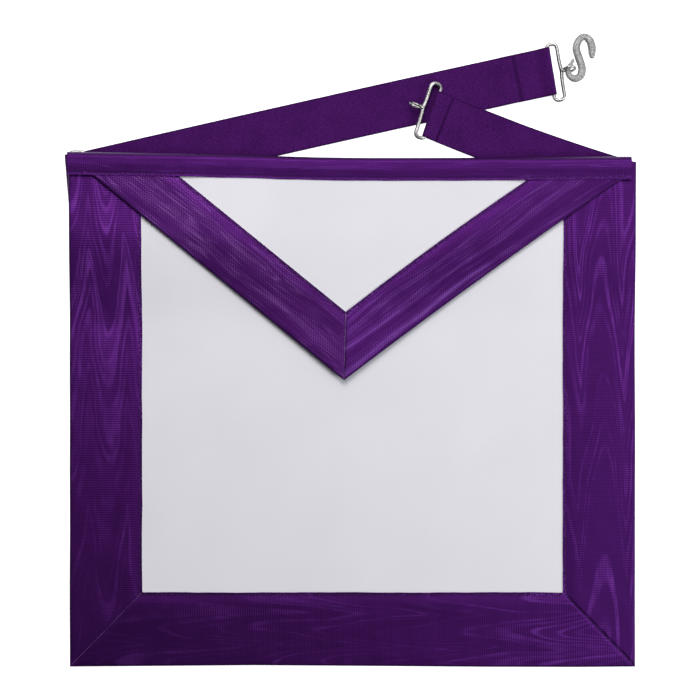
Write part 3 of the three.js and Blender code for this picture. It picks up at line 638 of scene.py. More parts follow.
# Headings and folds are in degrees, from +X towards +Y
belt = {
    "width": 33.6,
    "wall": 1.0,
    "sewn": 62,  # behind the panel
    "longDepth": 18.4,  # from the waist's top edge down to the middle of its side fold
    "longPast": 2.2,  # how far that fold lies past the panel's side
    "longRun": 350.3,  # from there to the fold round the hook's slide
    "longTurned": 28,  # under its own end
    "shortDepth": 20.6,
    "shortPast": 0.1,
    "shortRun": 153.7,
    "shortTurned": 11.6,  # on top of its own end
    "longSewn": 177.1,  # where its sewn end heads
    "longFold": 94.8,
    "longStart": 12.9,  # where it heads as it leaves its side fold
    "longChord": 12.53,  # the straight way from fold to fold
    "longEnd": 12.0,  # where it heads as it reaches its slide
    "hookSlide": 9.3,
    "shortSewn": 12,
    "shortFold": 88.6,
    "shortStart": 163.5,
    "shortChord": 160.6,
    "shortEnd": 157.6,
    "eyeSlide": 161.8,
    "sewnBend": 9,  # from the fold to where the sewn end lies flat
    "leaveFold": 4.3,
    "wireFade": 9,  # from the wire to where the strap lies flat again
    "clearOf": 3,  # beyond what it lies on, before it comes down
    "turnedFade": 15,
    "comeDown": 16,
    "lookAhead": 0.5,  # to either side, for the way it runs
    "squareBy": 0.8,  # where the painted shadow of a turned end lies on the strap
    "paintedShadowIn": 0.5,  # the dark line that a turned end presses
    "paintedShadowSpread": 0.8,
    "columns": 29,
    "curvePoints": 400,
    "wallShown": 0.9,
    "edgeThin": 0.6,  # share of the wall that is left at its edges
    "edgeWidth": 0.9,
    "weaveShift": 100,  # where on the weave the straps lie
}

# How many steps each stretch of a strap takes
beltSteps = {
    "sewn": 20,
    "intoFold": 6,
    "fold": 18,
    "plainFold": 12,
    "outOfFold": 2,
    "long": 300,
    "short": 200,
    "intoTurned": 5,
    "turned": 8,
    "shortTurned": 16,
}
slides = {
    "wire": 2.1,
    "wireShown": 2.6,  # drawn as thick as it looks, with its glints
    "eyeShown": 1.8,
    "play": 2.0,  # at each side of the strap
    "spacing": 7.3,  # between the middles of its bars
    "corner": 3.0,
    "off": -1.45,  # from the strap's middle
    "kink": 0.5,  # the outer bar is drawn in towards the eye
    "kinkLength": 4,
    "adjusterSpacing": 12.4,
    "adjusterCorner": 4,
    "tilt": 9,  # degrees up from the table
    "eyeWire": 1.4,
    "eyePlay": 0.75,  # round the hook's tail
    "neck": 1.35,
    "neckTurns": 1.4,
    "neckLength": 1.5,
    "eyeSpare": 1.6,
    "hookEyeOff": -0.9,  # from the slide's middle
    "beltEyeOff": -2.3,
    "tailOut": 0.4,  # where the hook's tail hangs, from the eye's middle
    "tailDown": 0.6,
    "eyeTurn": 68,  # degrees, twisted out of the slide's plane
    "neckInside": 0.4,  # where the wound neck starts, as a share of the wire's radius
    "neckPoints": 30,
    "ringPoints": 70,
    "pitch": 0.45,  # between rings of the wire
    "sides": 20,
}


def waistTop(x):
    across = np.asarray(x) / halfWidth
    return apron["height"] / 2 - waist["sag"] * np.interp(across, waist["acrossAt"], waist["sagAt"])


# The top of what the waistband holds
def heldTop(x):
    return waistTop(x) - (waist["highSides"] - waist["low"]) / 2


# How high the panel's back lies above the table, over the belt that is folded out behind it
underWaist = 2 * gap + layer
riseLeft = 2 * belt["wall"] + slides["wire"] + 2 * gap + underWaist
riseRight = 2 * belt["wall"] + gap + underWaist
riseMiddle = belt["wall"] + underWaist
sewnLean = belt["sewn"] * math.sin(math.radians(belt["shortSewn"]))
drapeTop = apron["height"] / 2 - waist["sag"] - belt["shortDepth"] - sewnLean - belt["width"] / 2 - gap
sagLeft = -halfWidth + belt["sewn"] + apron["underSewn"]
sagRight = halfWidth - belt["sewn"] - apron["underSewn"]


def drape(x, y):
    fromLeft = mix(riseLeft, riseMiddle, ease(x, sagLeft, sagLeft + apron["sagLength"]))
    toRight = (riseRight - riseMiddle) * ease(x, sagRight - apron["sagLength"], sagRight)
    return (fromLeft + toRight) * ease(y, drapeTop - apron["drapeLength"], drapeTop)


# The panel, which lies in soft waves where nothing is sewn to it

panel = {
    "rows": 150,
    "columns": 150,
    "wave": 0.35,
    "waveSize": 130,
    "calm": 24,  # from the borders to where the waves are full
    "waveTop": 90,  # from here up to waveEnd they fade out, under the flap
    "waveEnd": 150,
}


def makePanel():
    half = halfWidth - apron["hem"] - gap
    foot = bottomEdge + apron["hem"] + gap
    share = np.linspace(0, 1, panel["rows"])[:, None]
    x = np.linspace(-half, half, panel["columns"])[None, :] + 0 * share
    y = mix(foot, heldTop(x), share)
    inside = halfWidth - apron["sideBorder"] - np.abs(x)
    above = y - bottomEdge - apron["bottomBorder"]
    free = ease(np.minimum(inside, above), 0, panel["calm"])
    free = free * (1 - ease(y, panel["waveTop"], panel["waveEnd"]))
    back = drape(x, y) + panel["wave"] * free * (1 + ripple(x, y, panel["waveSize"], seed=2.0)) / 2
    upper = np.stack([x, y, back + layer], -1)
    lower = np.stack([x, y, back], -1)
    places = np.stack([x, y, 0 * x], -1)
    return newWall("panelCloth", upper, lower, places, cloth)


panelCloth = makePanel()
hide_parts("apron_panel")
print("panel made")


# Ribbons that are folded round an edge. The section runs from the stitched free edge over the face,
# round the fold and back along the hem. Each place is a distance from the folded edge and a height.

ribbonShape = {
    "faceSteps": 26,
    "foldSteps": 8,
    "hemSteps": 4,
    "faceEase": 1.3,  # more steps near the stitched edge
    "seam": 0.6,  # from the stitched edge to where the face starts to rise
    "pressed": 9,  # and to where it stands full
    "foldCalm": 3,
    "edgeDip": 0.12,  # the groove that the stitches pull in
    "dipAt": 1.9,
    "dipWidth": 0.7,
    "wave": 0.16,
    "waveSize": 46,
}


# outer and inner hold the points of the folded edge and of the free edge, row by row. The hem lies at
# low and the face at high, but at pressed by its stitched edge. lift raises it, ends creases it down.
def foldedRibbon(name, outer, inner, width, turned, low, high, pressed, lift, seed, ends, material):
    rows = len(outer)
    shape = ribbonShape
    high = np.broadcast_to(np.asarray(high, float), rows)[:, None]
    pressed = np.broadcast_to(np.asarray(pressed, float), rows)[:, None]
    radius = (high - low) / 2
    share = np.linspace(0, 1, shape["faceSteps"])[None, :] ** shape["faceEase"]
    face = mix(width, radius, share)

    def spotAt(distance):
        return outer[:, None, :] + (inner - outer)[:, None, :] * (distance / width)[..., None]

    across = spotAt(face)
    fromFree = width - face
    risen = ease(fromFree, shape["seam"], shape["pressed"])
    full = risen * ease(face, 0, shape["foldCalm"] + radius)
    waves = ripple(across[..., 0], across[..., 1], shape["waveSize"], seed)
    calm = ends(across[..., 0], across[..., 1])
    puffed = mix(pressed, high, risen)
    groove = shape["edgeDip"] * np.exp(-((fromFree - shape["dipAt"]) / shape["dipWidth"]) ** 2)
    faceHeight = puffed - groove + shape["wave"] * waves * full - calm * (puffed - pressed)
    turn = math.pi * (0.5 - np.linspace(0, 1, shape["foldSteps"] + 1)[1:-1])[None, :]
    middle = low + radius
    foldFrom = radius - radius * np.cos(turn)
    foldHeight = middle + radius * np.sin(turn)
    hem = mix(radius, turned, np.linspace(0, 1, shape["hemSteps"])[None, :])
    froms = np.concatenate([face, foldFrom, hem], 1)
    heights = np.concatenate([faceHeight, foldHeight, low + 0 * hem], 1)
    stepFrom = np.gradient(froms, axis=1)
    stepHeight = np.gradient(heights, axis=1)
    run = np.hypot(stepFrom, stepHeight)
    insideFrom = froms - ribbonWall * stepHeight / run
    insideHeight = heights + ribbonWall * stepFrom / run

    def placed(distance, height):
        spot = spotAt(distance)
        rise = drape(spot[..., 0], spot[..., 1]) + lift(spot[..., 1])
        return np.stack([spot[..., 0], spot[..., 1], height + rise], -1)

    # Places on the cloth: across it from the fold, along it, and in from the free edge
    upper = placed(froms, heights)
    lower = placed(insideFrom, insideHeight)
    arc = np.concatenate([face, -radius * (math.pi / 2 - turn), -radius * math.pi - hem + radius], 1)
    way = unit((outer[-1] - outer[0])[None])[0]
    lengthwise = upper[..., 0] * way[0] + upper[..., 1] * way[1]
    places = np.stack([arc, lengthwise, width - arc], -1)
    piece = newWall(name, upper, lower, places, material)
    return piece, upper


# Rows of small stitches along a line on a grid of points
stitch = {
    "pitch": 2.5,
    "length": 1.7,
    "width": 0.5,
    "height": 0.2,
    "sink": 1.9,  # how far its ends go down, in heights
    "blunt": 1.05,
    "taper": 0.9,
    "rings": 7,
    "sides": 8,
}


def stitchesOn(lines):
    points = []
    blocks = []
    start = 0
    ends = np.linspace(-1, 1, stitch["rings"])
    for line in lines:
        count = int(pathLength(line) / stitch["pitch"])
        middles = (np.arange(count) + 0.5) * stitch["pitch"]
        for at in middles:
            reach = stitch["length"] / 2
            path = alongPath(line, at + ends * reach)
            path[:, 2] += stitch["height"] * (1 - stitch["sink"] * ends ** 2)
            radius = stitch["width"] / 2 * np.sqrt(stitch["blunt"] - ends ** 2 * stitch["taper"])
            rings = wireRings(path, radius, stitch["sides"], False)
            points.append(rings.reshape(-1, 3))
            blocks += tubeFaces(stitch["rings"], stitch["sides"], False, start)
            start += stitch["rings"] * stitch["sides"]
    return np.concatenate(points), blocks


# The line on a ribbon's face that runs a set distance in from its free edge
def lineOnFace(upper, width, inset):
    face = upper[:, :ribbonShape["faceSteps"]]
    run = np.linalg.norm(np.diff(face, axis=1), axis=2)
    travelled = np.concatenate([np.zeros((len(face), 1)), np.cumsum(run, 1)], 1)
    scale = width / travelled[:, -1:]
    rows = [[np.interp(inset, travelled[i] * scale[i], face[i, :, k]) for k in range(3)]
            for i in range(len(face))]
    return np.array(rows)


def makeStitches(name, lines, material):
    points, blocks = stitchesOn(lines)
    piece = newPiece(name, points, blocks, material)
    return piece


# The borders. They meet in mitres at the bottom corners, where each ribbon is creased down.

border = {
    "rows": 240,
    "rowEase": 1.15,  # more rows near the mitre
    "edgeWander": 0.25,
    "edgeWanderSize": 210,
    "edgeCalm": 60,  # from the corner to where the edge wanders fully
    "freeWander": 0.18,
    "freeWanderSize": 60,
    "bottomWander": 0.2,
    "bottomWanderSize": 50,
    "stitchIn": 1.9,
    "mitreGap": 0.02,
    "crease": 1.6,
    "creaseDepth": 0.85,
    "edgeWaveAt": [-1, -0.66, -0.35, 0.1, 0.45, 0.8, 1],
    "edgeWave": [0.2, -0.3, -0.75, -0.2, 0.35, 0.5, 0.2],
}


# How near a point is to a bottom corner's mitre, from 0 away from it to 1 on it
def nearMitre(x, y):
    slope = apron["bottomBorder"] / apron["sideBorder"]
    inX = halfWidth - np.abs(x)
    inY = y - bottomEdge
    away = np.abs(inY - inX * slope) / math.hypot(1, slope)
    return (1 - ease(away, 0, border["crease"])) * border["creaseDepth"]


def bottomLine(x):
    across = np.asarray(x) / halfWidth
    return bottomEdge - np.interp(across, border["edgeWaveAt"], border["edgeWave"])


leftLook = wateredRibbon("left border", {
    "seed": 1.0, "tips": 13.7, "period": 27.0, "reach": 78.0, "length": 56.0, "width": 150.0,
    "wander": 50.0, "lines": 1.1, "bands": 0.34, "hatch": 0.0, "light": "#74379a",
    "paintedShadeAlong": (150.0, -170.0, 0.5),
})
rightLook = wateredRibbon("right border", {
    "seed": 3.6, "tips": 7.5, "period": 32.0, "reach": -100.0, "length": 76.0, "width": 150.0,
    "wander": 44.0, "lines": 1.3, "bands": 0.4, "hatch": 0.0, "light": "#74379a",
    "paintedShadeAlong": (150.0, -170.0, 0.0),
})
bottomLook = wateredRibbon("bottom border", {
    "seed": 4.2, "tips": 13.5, "period": 24.0, "reach": 90.0, "length": 70.0, "width": 110.0,
    "wander": 50.0, "lines": 1.25, "bands": 0.26, "hatch": 0.0, "light": "#74379a",
    "paintedShadeAlong": (170.0, -170.0, 0.66),
})
waistLook = wateredRibbon("waistband", {
    "seed": 4.6, "tips": 8.0, "period": 30.0, "reach": 14.0, "length": 200.0, "width": 5.0,
    "wander": 60.0, "lines": 1.0, "bands": 0.24, "hatch": 0.03, "light": "#6c3c98",
    "paintedShadeAlong": (150.0, -150.0, 0.1),
})
flapLeftLook = wateredRibbon("left of the flap", {
    "seed": 5.2, "tips": 12.0, "period": 60.0, "reach": 12.0, "length": 110.0, "width": 5.0,
    "wander": 24.0, "lines": 1.6, "bands": 0.32, "hatch": 0.38, "light": "#895aa0",
    "paintedShadeAlong": (-260.0, -20.0, 0.55),
})
flapRightLook = wateredRibbon("right of the flap", {
    "seed": 6.7, "tips": 9.0, "period": 60.0, "reach": -12.0, "length": 170.0, "width": 5.0,
    "wander": 30.0, "lines": 1.1, "bands": 0.42, "hatch": 0.26, "light": "#76489a",
    "paintedShadeAlong": (-60.0, -260.0, 0.22),
})


def noLift(y):
    return 0 * y


def makeSideBorder(name, side, seed, material):
    edge = side * halfWidth
    free = edge - side * apron["sideBorder"]
    mitre = border["mitreGap"]
    share = np.linspace(0, 1, border["rows"]) ** border["rowEase"]
    foot = float(bottomLine(edge))
    outer = np.stack([edge + 0 * share, mix(foot + mitre, heldTop(edge), share)], -1)
    innerFoot = bottomEdge + apron["bottomBorder"] + mitre
    inner = np.stack([free + 0 * share, mix(innerFoot, heldTop(free), share)], -1)
    wander = side * border["edgeWander"] * ripple(outer[:, 1], 0, border["edgeWanderSize"], seed)
    outer[:, 0] += wander * ease(outer[:, 1], foot, foot + border["edgeCalm"])
    inner[:, 0] += border["freeWander"] * ripple(inner[:, 1], 3, border["freeWanderSize"], seed + 1)
    pressed = layer + ribbonWall + ribbonRoom
    return foldedRibbon(name, outer, inner, width=apron["sideBorder"], turned=apron["hem"], low=0,
                        high=borderHigh, pressed=pressed, lift=noLift, seed=seed, ends=nearMitre,
                        material=material)


def makeBottomBorder():
    half = halfWidth
    share = np.linspace(0, 1, border["rows"])
    x = mix(-half, half, share)
    outer = np.stack([x, bottomLine(x)], -1)
    innerX = mix(-half + apron["sideBorder"], half - apron["sideBorder"], share)
    wander = border["bottomWander"] * ripple(innerX, 5, border["bottomWanderSize"], seed=3)
    inner = np.stack([innerX, bottomEdge + apron["bottomBorder"] + wander], -1)
    pressed = layer + ribbonWall + ribbonRoom
    return foldedRibbon("borderBottomRibbon", outer, inner, width=apron["bottomBorder"],
                        turned=apron["hem"], low=0, high=borderHigh, pressed=pressed, lift=noLift,
                        seed=3.0, ends=nearMitre, material=bottomLook)


borderLeft, leftGrid = makeSideBorder("borderLeftRibbon", side=-1, seed=1.0, material=leftLook)
borderRight, rightGrid = makeSideBorder("borderRightRibbon", side=1, seed=2.0, material=rightLook)
borderBottom, bottomGrid = makeBottomBorder()
borderLines = [
    lineOnFace(leftGrid, apron["sideBorder"], border["stitchIn"]),
    lineOnFace(rightGrid, apron["sideBorder"], border["stitchIn"]),
    lineOnFace(bottomGrid, apron["bottomBorder"], border["stitchIn"]),
]
borderStitches = makeStitches("borderStitching", borderLines, purpleThread)


# The turned edge that shows as a thin light line in the left mitre: a raised edge, coloured light lilac as
# a painted highlight where the fold catches the light; and the stitches that close the right one
mitreSeam = {
    "start": 0.02,  # shares of the mitre, from the corner inward
    "end": 0.99,
    "points": 60,
    "past": 0.1,
    "lift": 0.1,
    "radius": 0.16,
    "sides": 8,
    "sink": 0.3,  # at the corner, where it turns under
    "sinkLength": 3,
}


def mitreLine(side):
    share = np.linspace(mitreSeam["start"], mitreSeam["end"], mitreSeam["points"])[:, None]
    corner = np.array([side * halfWidth, bottomEdge - mitreSeam["past"], 0.0])
    vertex = corner + [-side * apron["sideBorder"], apron["bottomBorder"] + mitreSeam["past"], 0.0]
    line = mix(corner, vertex, share)
    line[:, 2] = layer + ribbonWall + mitreSeam["lift"]
    return line


leftEdge = mitreLine(-1)
leftEdge[:, 2] -= mitreSeam["sink"] * ease(-leftEdge[:, 0], halfWidth - mitreSeam["sinkLength"], halfWidth)
mitreRings = wireRings(leftEdge, mitreSeam["radius"], mitreSeam["sides"], False)
mitreTurned = newPiece("mitreTurnedEdge", mitreRings,
                       tubeFaces(mitreSeam["points"], mitreSeam["sides"], False), sewingThread("highlightLilac"))
makeStitches("mitreStitching", [mitreLine(1)], purpleThread)
print("borders made")

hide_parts("border_left")
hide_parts("border_right")
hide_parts("border_bottom")


# The flap

flap = {
    "tipDrop": 156.2,
    "tipOff": -6,
    "insetLeft": 16.4,
    "insetRight": 11.3,
    "insideWaist": 1.6,
    "ribbon": 38.1,
    "hem": 8,
    "bow": 1.3,
    "tipLift": 3,
    "edgeSteps": 7,
    "rows": 230,
    "clothRows": 110,
    "clothColumns": 120,
    "grainShift": 500,  # its grain starts elsewhere than the panel's
    "stitchIn": 1.7,
    "curveAside": 0.1,
    "curveDown": 0.3,
    "seamGap": 0.14,
    "crease": 1.5,
    "creaseDepth": 0.8,
}
flapTip = np.array([flap["tipOff"], float(waistTop(flap["tipOff"])) - flap["tipDrop"]])
flapLeftX = -halfWidth + flap["insetLeft"]
flapRightX = halfWidth - flap["insetRight"]
flapLeft = np.array([flapLeftX, float(waistTop(flapLeftX)) - waist["height"]])
flapRight = np.array([flapRightX, float(waistTop(flapRightX)) - waist["height"]])


# The flap lifts off the panel towards its tip
def flapLift(y):
    share = np.clip((flapLeft[1] - y) / (flapLeft[1] - flapTip[1]), 0, 1)
    return flap["tipLift"] * share ** 3


# Where two lines meet that run beside the flap's edges, this far inside them
def mitrePoint(inset):
    left = unit(flapTip - flapLeft)
    right = unit(flapTip - flapRight)
    leftIn = flapTip + np.array([-left[1], left[0]]) * inset
    rightIn = flapTip + np.array([right[1], -right[0]]) * inset
    turn = left[0] * right[1] - left[1] * right[0]
    away = rightIn - leftIn
    along = (away[0] * right[1] - away[1] * right[0]) / turn
    return leftIn + left * along


# The folded and the free edge of a flap's ribbon, from under the waistband to the tip
def flapEdges(side):
    corner = flapLeft if side < 0 else flapRight
    limit = -halfWidth - waist["pastLeft"] if side < 0 else halfWidth - waist["shortRight"]
    run = flapTip - corner
    inward = unit(np.array([-run[1], run[0]])) * -side
    vertex = mitrePoint(flap["ribbon"])
    seam = unit(vertex - flapTip)
    off = np.array([seam[1], -seam[0]]) * side * flap["seamGap"] / 2
    bow = 0 if side < 0 else flap["bow"]
    free = corner + inward * flap["ribbon"]
    free = free + run * (corner[1] - free[1]) / run[1]
    stop = limit - side * flap["insideWaist"]

    def line(start, end, stop):
        top = float(heldTop(start[0]))
        reach = start[0] + (top - start[1]) / run[1] * run[0]
        hidden = np.array([side * min(side * reach, side * stop), top])
        share = np.linspace(0, 1, flap["edgeSteps"] + 1)[:, None]
        shown = mix(start, end, share) + inward * 4 * bow * share * (1 - share) + off
        return np.concatenate([hidden[None], shown])

    return line(corner, flapTip, stop), line(free, vertex, stop - side * flap["ribbon"])


flapSeam = unit(mitrePoint(flap["ribbon"]) - flapTip)


def nearSeam(x, y):
    away = np.abs((x - flapTip[0]) * flapSeam[1] - (y - flapTip[1]) * flapSeam[0])
    return (1 - ease(away, 0, flap["crease"])) * flap["creaseDepth"]


def makeFlapRibbon(name, side, seed, material):
    outer, inner = flapEdges(side)
    share = np.linspace(0, 1, flap["rows"])
    outer = alongLine(outer, share)
    inner = alongLine(inner, share)
    pressed = flapHigh + ribbonWall + ribbonRoom
    return foldedRibbon(name, outer, inner, width=flap["ribbon"], turned=flap["hem"], low=flapLow,
                        high=flapRibbonHigh, pressed=pressed, lift=flapLift, seed=seed, ends=nearSeam,
                        material=material)


def makeFlapPanel():
    share = (flap["hem"] + gap) / flap["ribbon"]
    along = np.linspace(0, 1, flap["clothRows"])
    sides = [mix(*(alongLine(line, along) for line in flapEdges(side)), share) for side in (-1, 1)]
    across = np.linspace(0, 1, flap["clothColumns"])[None, :, None]
    spot = mix(sides[0][:, None], sides[1][:, None], across)
    x, y = spot[..., 0], spot[..., 1]
    topLeft, topRight = sides[0][0], sides[1][0]
    straight = mix(topLeft[1], topRight[1], (x - topLeft[0]) / (topRight[0] - topLeft[0]))
    level = (across * (1 - across))[..., 0]
    inside = ease(level, 0, flap["curveAside"]) * (1 - ease(along[:, None], 0, flap["curveDown"]))
    y = y + (heldTop(x) - straight) * inside
    rise = flapLow + drape(x, y) + flapLift(y)
    upper = np.stack([x, y, rise + layer], -1)
    lower = np.stack([x, y, rise], -1)
    places = np.stack([x + flap["grainShift"], y, 0 * x], -1)
    return newWall("flapCloth", upper, lower, places, cloth)


flapCloth = makeFlapPanel()
flapRibbonLeft, flapLeftGrid = makeFlapRibbon("flapLeftRibbon", side=-1, seed=5.0,
                                              material=flapLeftLook)
flapRibbonRight, flapRightGrid = makeFlapRibbon("flapRightRibbon", side=1, seed=6.0,
                                                material=flapRightLook)
flapLines = [
    lineOnFace(flapLeftGrid, flap["ribbon"], flap["stitchIn"]),
    lineOnFace(flapRightGrid, flap["ribbon"], flap["stitchIn"]),
]
flapStitches = makeStitches("flapStitching", flapLines, purpleThread)
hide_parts("flap_panel")
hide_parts("flap_ribbon_left")
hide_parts("flap_ribbon_right")
print("flap made")


# The waistband

ribbonLean = (flapTip[0] - flapLeft[0]) / (flapLeft[1] - flapTip[1])
ribbonAcross = flap["ribbon"] * math.hypot(1, ribbonLean)
dipLeft = flapLeft[0] + ribbonAcross + waist["dip"] / 4
dipRight = flapRight[0] - ribbonAcross - waist["dip"] / 4


def waistHigh(x):
    dip = ease(x, dipLeft, dipLeft + waist["dip"]) * ease(-x, -dipRight, waist["dip"] - dipRight)
    return mix(waist["highSides"], waist["highMiddle"], dip)


def noCrease(x, y):
    return 0 * x


def makeWaistband():
    low = -halfWidth - waist["pastLeft"]
    high = halfWidth - waist["shortRight"]
    x = np.linspace(low, high, waist["rows"])
    outer = np.stack([x, waistTop(x)], -1)
    inner = np.stack([x, waistTop(x) - waist["height"]], -1)
    inner[:, 1] += waist["freeWander"] * ripple(x, 0, waist["freeWanderSize"], seed=7)
    face = waistHigh(x)
    pressed = face - gap - layer + waist["room"] + ribbonWall
    return foldedRibbon("waistbandRibbon", outer, inner, width=waist["height"], turned=waist["turned"],
                        low=waist["low"], high=face, pressed=pressed, lift=noLift, seed=4.0,
                        ends=noCrease, material=waistLook)


waistband, waistGrid = makeWaistband()
waistLine = lineOnFace(waistGrid, waist["height"], waist["stitchIn"])
waistStitches = makeStitches("waistStitching", [waistLine], purpleThread)
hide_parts("waistband")
print("waistband made")


# The belt. Each station holds the middle of the strap, the direction across it, the way that it runs
# and how far each place across is lifted.

wireRadius = slides["wire"] / 2
slideFold = wireRadius + gap + belt["wall"]
halfWall = belt["wall"] / 2
up = np.array([0.0, 0.0, 1.0])
strapPlaces = 0.5 * np.sin(np.linspace(-math.pi / 2, math.pi / 2, belt["columns"]))


def flat(point):
    return np.array([point[0], point[1], 0.0])


def foldAcross(degrees, run):
    return heading(degrees) * belt["width"] / math.sin(math.radians(degrees - run))


def runCurve(start, end, startHeading, endHeading):
    third = np.linalg.norm(end - start) / 3
    a, b = start + heading(startHeading) * third, end - heading(endHeading) * third
    t = np.linspace(0, 1, belt["curvePoints"])[:, None]
    return (1 - t) ** 3 * start + 3 * (1 - t) ** 2 * t * a + 3 * (1 - t) * t ** 2 * b + t ** 3 * end


# Round a fold, from one angle to another in degrees above the way out of it
def foldStations(axis, outward, across, radius, start, end, count=beltSteps["fold"]):
    stations = []
    for share in np.linspace(0, 1, count):
        turn = math.radians(mix(start, end, share))
        out = outward * math.cos(turn) + up * math.sin(turn)
        way = (up * math.cos(turn) - outward * math.sin(turn)) * np.sign(end - start)
        stations.append((axis + out * (radius - halfWall), across, way, 0 * strapPlaces))
    return stations


# Along a curve. The fold lines at its two ends may lie askew.
def runStations(curve, firstAcross, lastAcross, shares, riseAt):
    length = pathLength(curve)
    settle = belt["width"] / 2 / length
    stations = []
    for share in shares:
        middle = alongPath(curve, [share * length])[0]
        near = alongPath(curve, share * length + np.array([-belt["lookAhead"], belt["lookAhead"]]))
        ahead = unit(near[1] - near[0])
        middle[2] = halfWall
        square = np.cross(up, ahead) * belt["width"]
        across = square * np.sign(np.dot(square, firstAcross))
        across = mix(across, firstAcross, 1 - ease(share, 0, settle))
        across = mix(across, lastAcross, ease(share, 1 - settle, 1))
        points = middle + strapPlaces[:, None] * across
        stations.append((middle, across, ahead, riseAt(points, (1 - share) * length)))
    return stations


# Stations that lead evenly from one to the next
def between(first, second, count):
    stations = []
    for share in np.linspace(0, 1, count + 2)[1:-1]:
        blend = share * share * (3 - 2 * share)
        stations.append((mix(first[0], second[0], share), mix(first[1], second[1], blend),
                         mix(first[2], second[2], share), mix(first[3], second[3], blend)))
    return stations


# From a strap's sewn end round its side fold and along its run, up to the last fold
def joined(sewn, fold, run):
    return [
        sewn[0], *between(sewn[0], sewn[1], beltSteps["sewn"]), sewn[1],
        *between(sewn[1], fold[0], beltSteps["intoFold"]), *fold,
        *between(fold[-1], run[0], beltSteps["outOfFold"]), *run[:-1],
    ]


# How high the strap is held over the slide's wire, and over its own turned end, at a distance from it
def overEnd(distance, turned):
    overWire = (slides["wire"] + gap) * (1 - ease(distance, 0, belt["wireFade"]))
    past = turned + belt["clearOf"]
    overLayer = (belt["wall"] + gap) * (1 - ease(distance, past, turned + belt["turnedFade"]))
    return overWire + overLayer


longFoldMiddle = np.array([
    -halfWidth - belt["longPast"],
    float(waistTop(-halfWidth)) - belt["longDepth"],
    0,
])
longFoldOut = heading(belt["longFold"] + 90)
adjusterAxis = longFoldMiddle - longFoldOut * slideFold + up * slideFold
hookOut = heading(belt["hookSlide"])
hookAxis = longFoldMiddle + heading(belt["longChord"]) * belt["longRun"]
hookAxis = hookAxis - hookOut * slideFold + up * slideFold
longCurve = runCurve(flat(adjusterAxis), flat(hookAxis), belt["longStart"], belt["longEnd"])
longLength = pathLength(longCurve)


def longStations():
    foldLine = foldAcross(belt["longFold"], belt["longStart"])
    hookLine = foldAcross(belt["hookSlide"] + 90, belt["longEnd"])
    sewnWay = heading(belt["longSewn"])
    sewnSquare = heading(belt["longSewn"] - 90) * belt["width"]
    level = up * (slideFold * 2 - halfWall)
    sewn = [(flat(adjusterAxis - sewnWay * back) + level, sewnSquare, sewnWay, 0 * strapPlaces)
            for back in (belt["sewn"], belt["sewnBend"])]
    fold = foldStations(adjusterAxis, longFoldOut, foldLine, slideFold, 90, -90)
    shares = np.linspace(belt["leaveFold"] / longLength, 1, beltSteps["long"])
    run = runStations(longCurve, foldLine, hookLine, shares,
                      lambda points, left: overEnd(left, belt["longTurned"] - slideFold) + 0 * strapPlaces)
    hookEnd = foldStations(hookAxis, hookOut, hookLine, slideFold, 90, -90)
    back = -heading(belt["longEnd"])
    square = np.cross(up, back) * -belt["width"]
    turned = [(flat(hookAxis + back * (reach - slideFold)) + up * halfWall, square, back, 0 * strapPlaces)
              for reach in (belt["sewnBend"], belt["longTurned"])]
    return [
        *joined(sewn, fold, run), *hookEnd, *between(hookEnd[-1], turned[0], beltSteps["intoTurned"]),
        turned[0], *between(turned[0], turned[1], beltSteps["turned"]), turned[1],
    ]


longPlaces = 181
longTops = alongPath(longCurve, np.linspace(0, longLength, longPlaces))
fromHook = np.linspace(longLength, 0, longPlaces)
longTops[:, 2] = belt["wall"] + overEnd(fromHook, belt["longTurned"] - slideFold)
longEdge = belt["width"] / 2 + belt["clearOf"]


# The top of the long strap where points lie over it, and how fast a strap on it comes down beside
def overLong(points):
    away = np.hypot(points[:, None, 0] - longTops[:, 0], points[:, None, 1] - longTops[:, 1])
    tops = (longTops[:, 2] + gap) * (1 - ease(away, longEdge, longEdge + belt["comeDown"]))
    return tops.max(1)


plainFold = belt["wall"] + gap / 2
shortFoldMiddle = np.array([
    halfWidth + belt["shortPast"],
    float(waistTop(halfWidth)) - belt["shortDepth"],
    0,
])
shortFoldOut = heading(belt["shortFold"] - 90)
shortAxis = shortFoldMiddle - shortFoldOut * plainFold + up * plainFold
eyeOut = heading(belt["eyeSlide"])
eyeAxis = shortFoldMiddle + heading(belt["shortChord"]) * belt["shortRun"] - eyeOut * slideFold
shortCurve = runCurve(flat(shortAxis), flat(eyeAxis), belt["shortStart"], belt["shortEnd"])
shortLength = pathLength(shortCurve)
eyeLine = -foldAcross(belt["eyeSlide"] + 90, belt["shortEnd"])
eyeLift = overLong(eyeAxis + np.linspace(-0.5, 0.5, 5)[:, None] * eyeLine).max()
eyeAxis = flat(eyeAxis) + up * (eyeLift + slideFold)


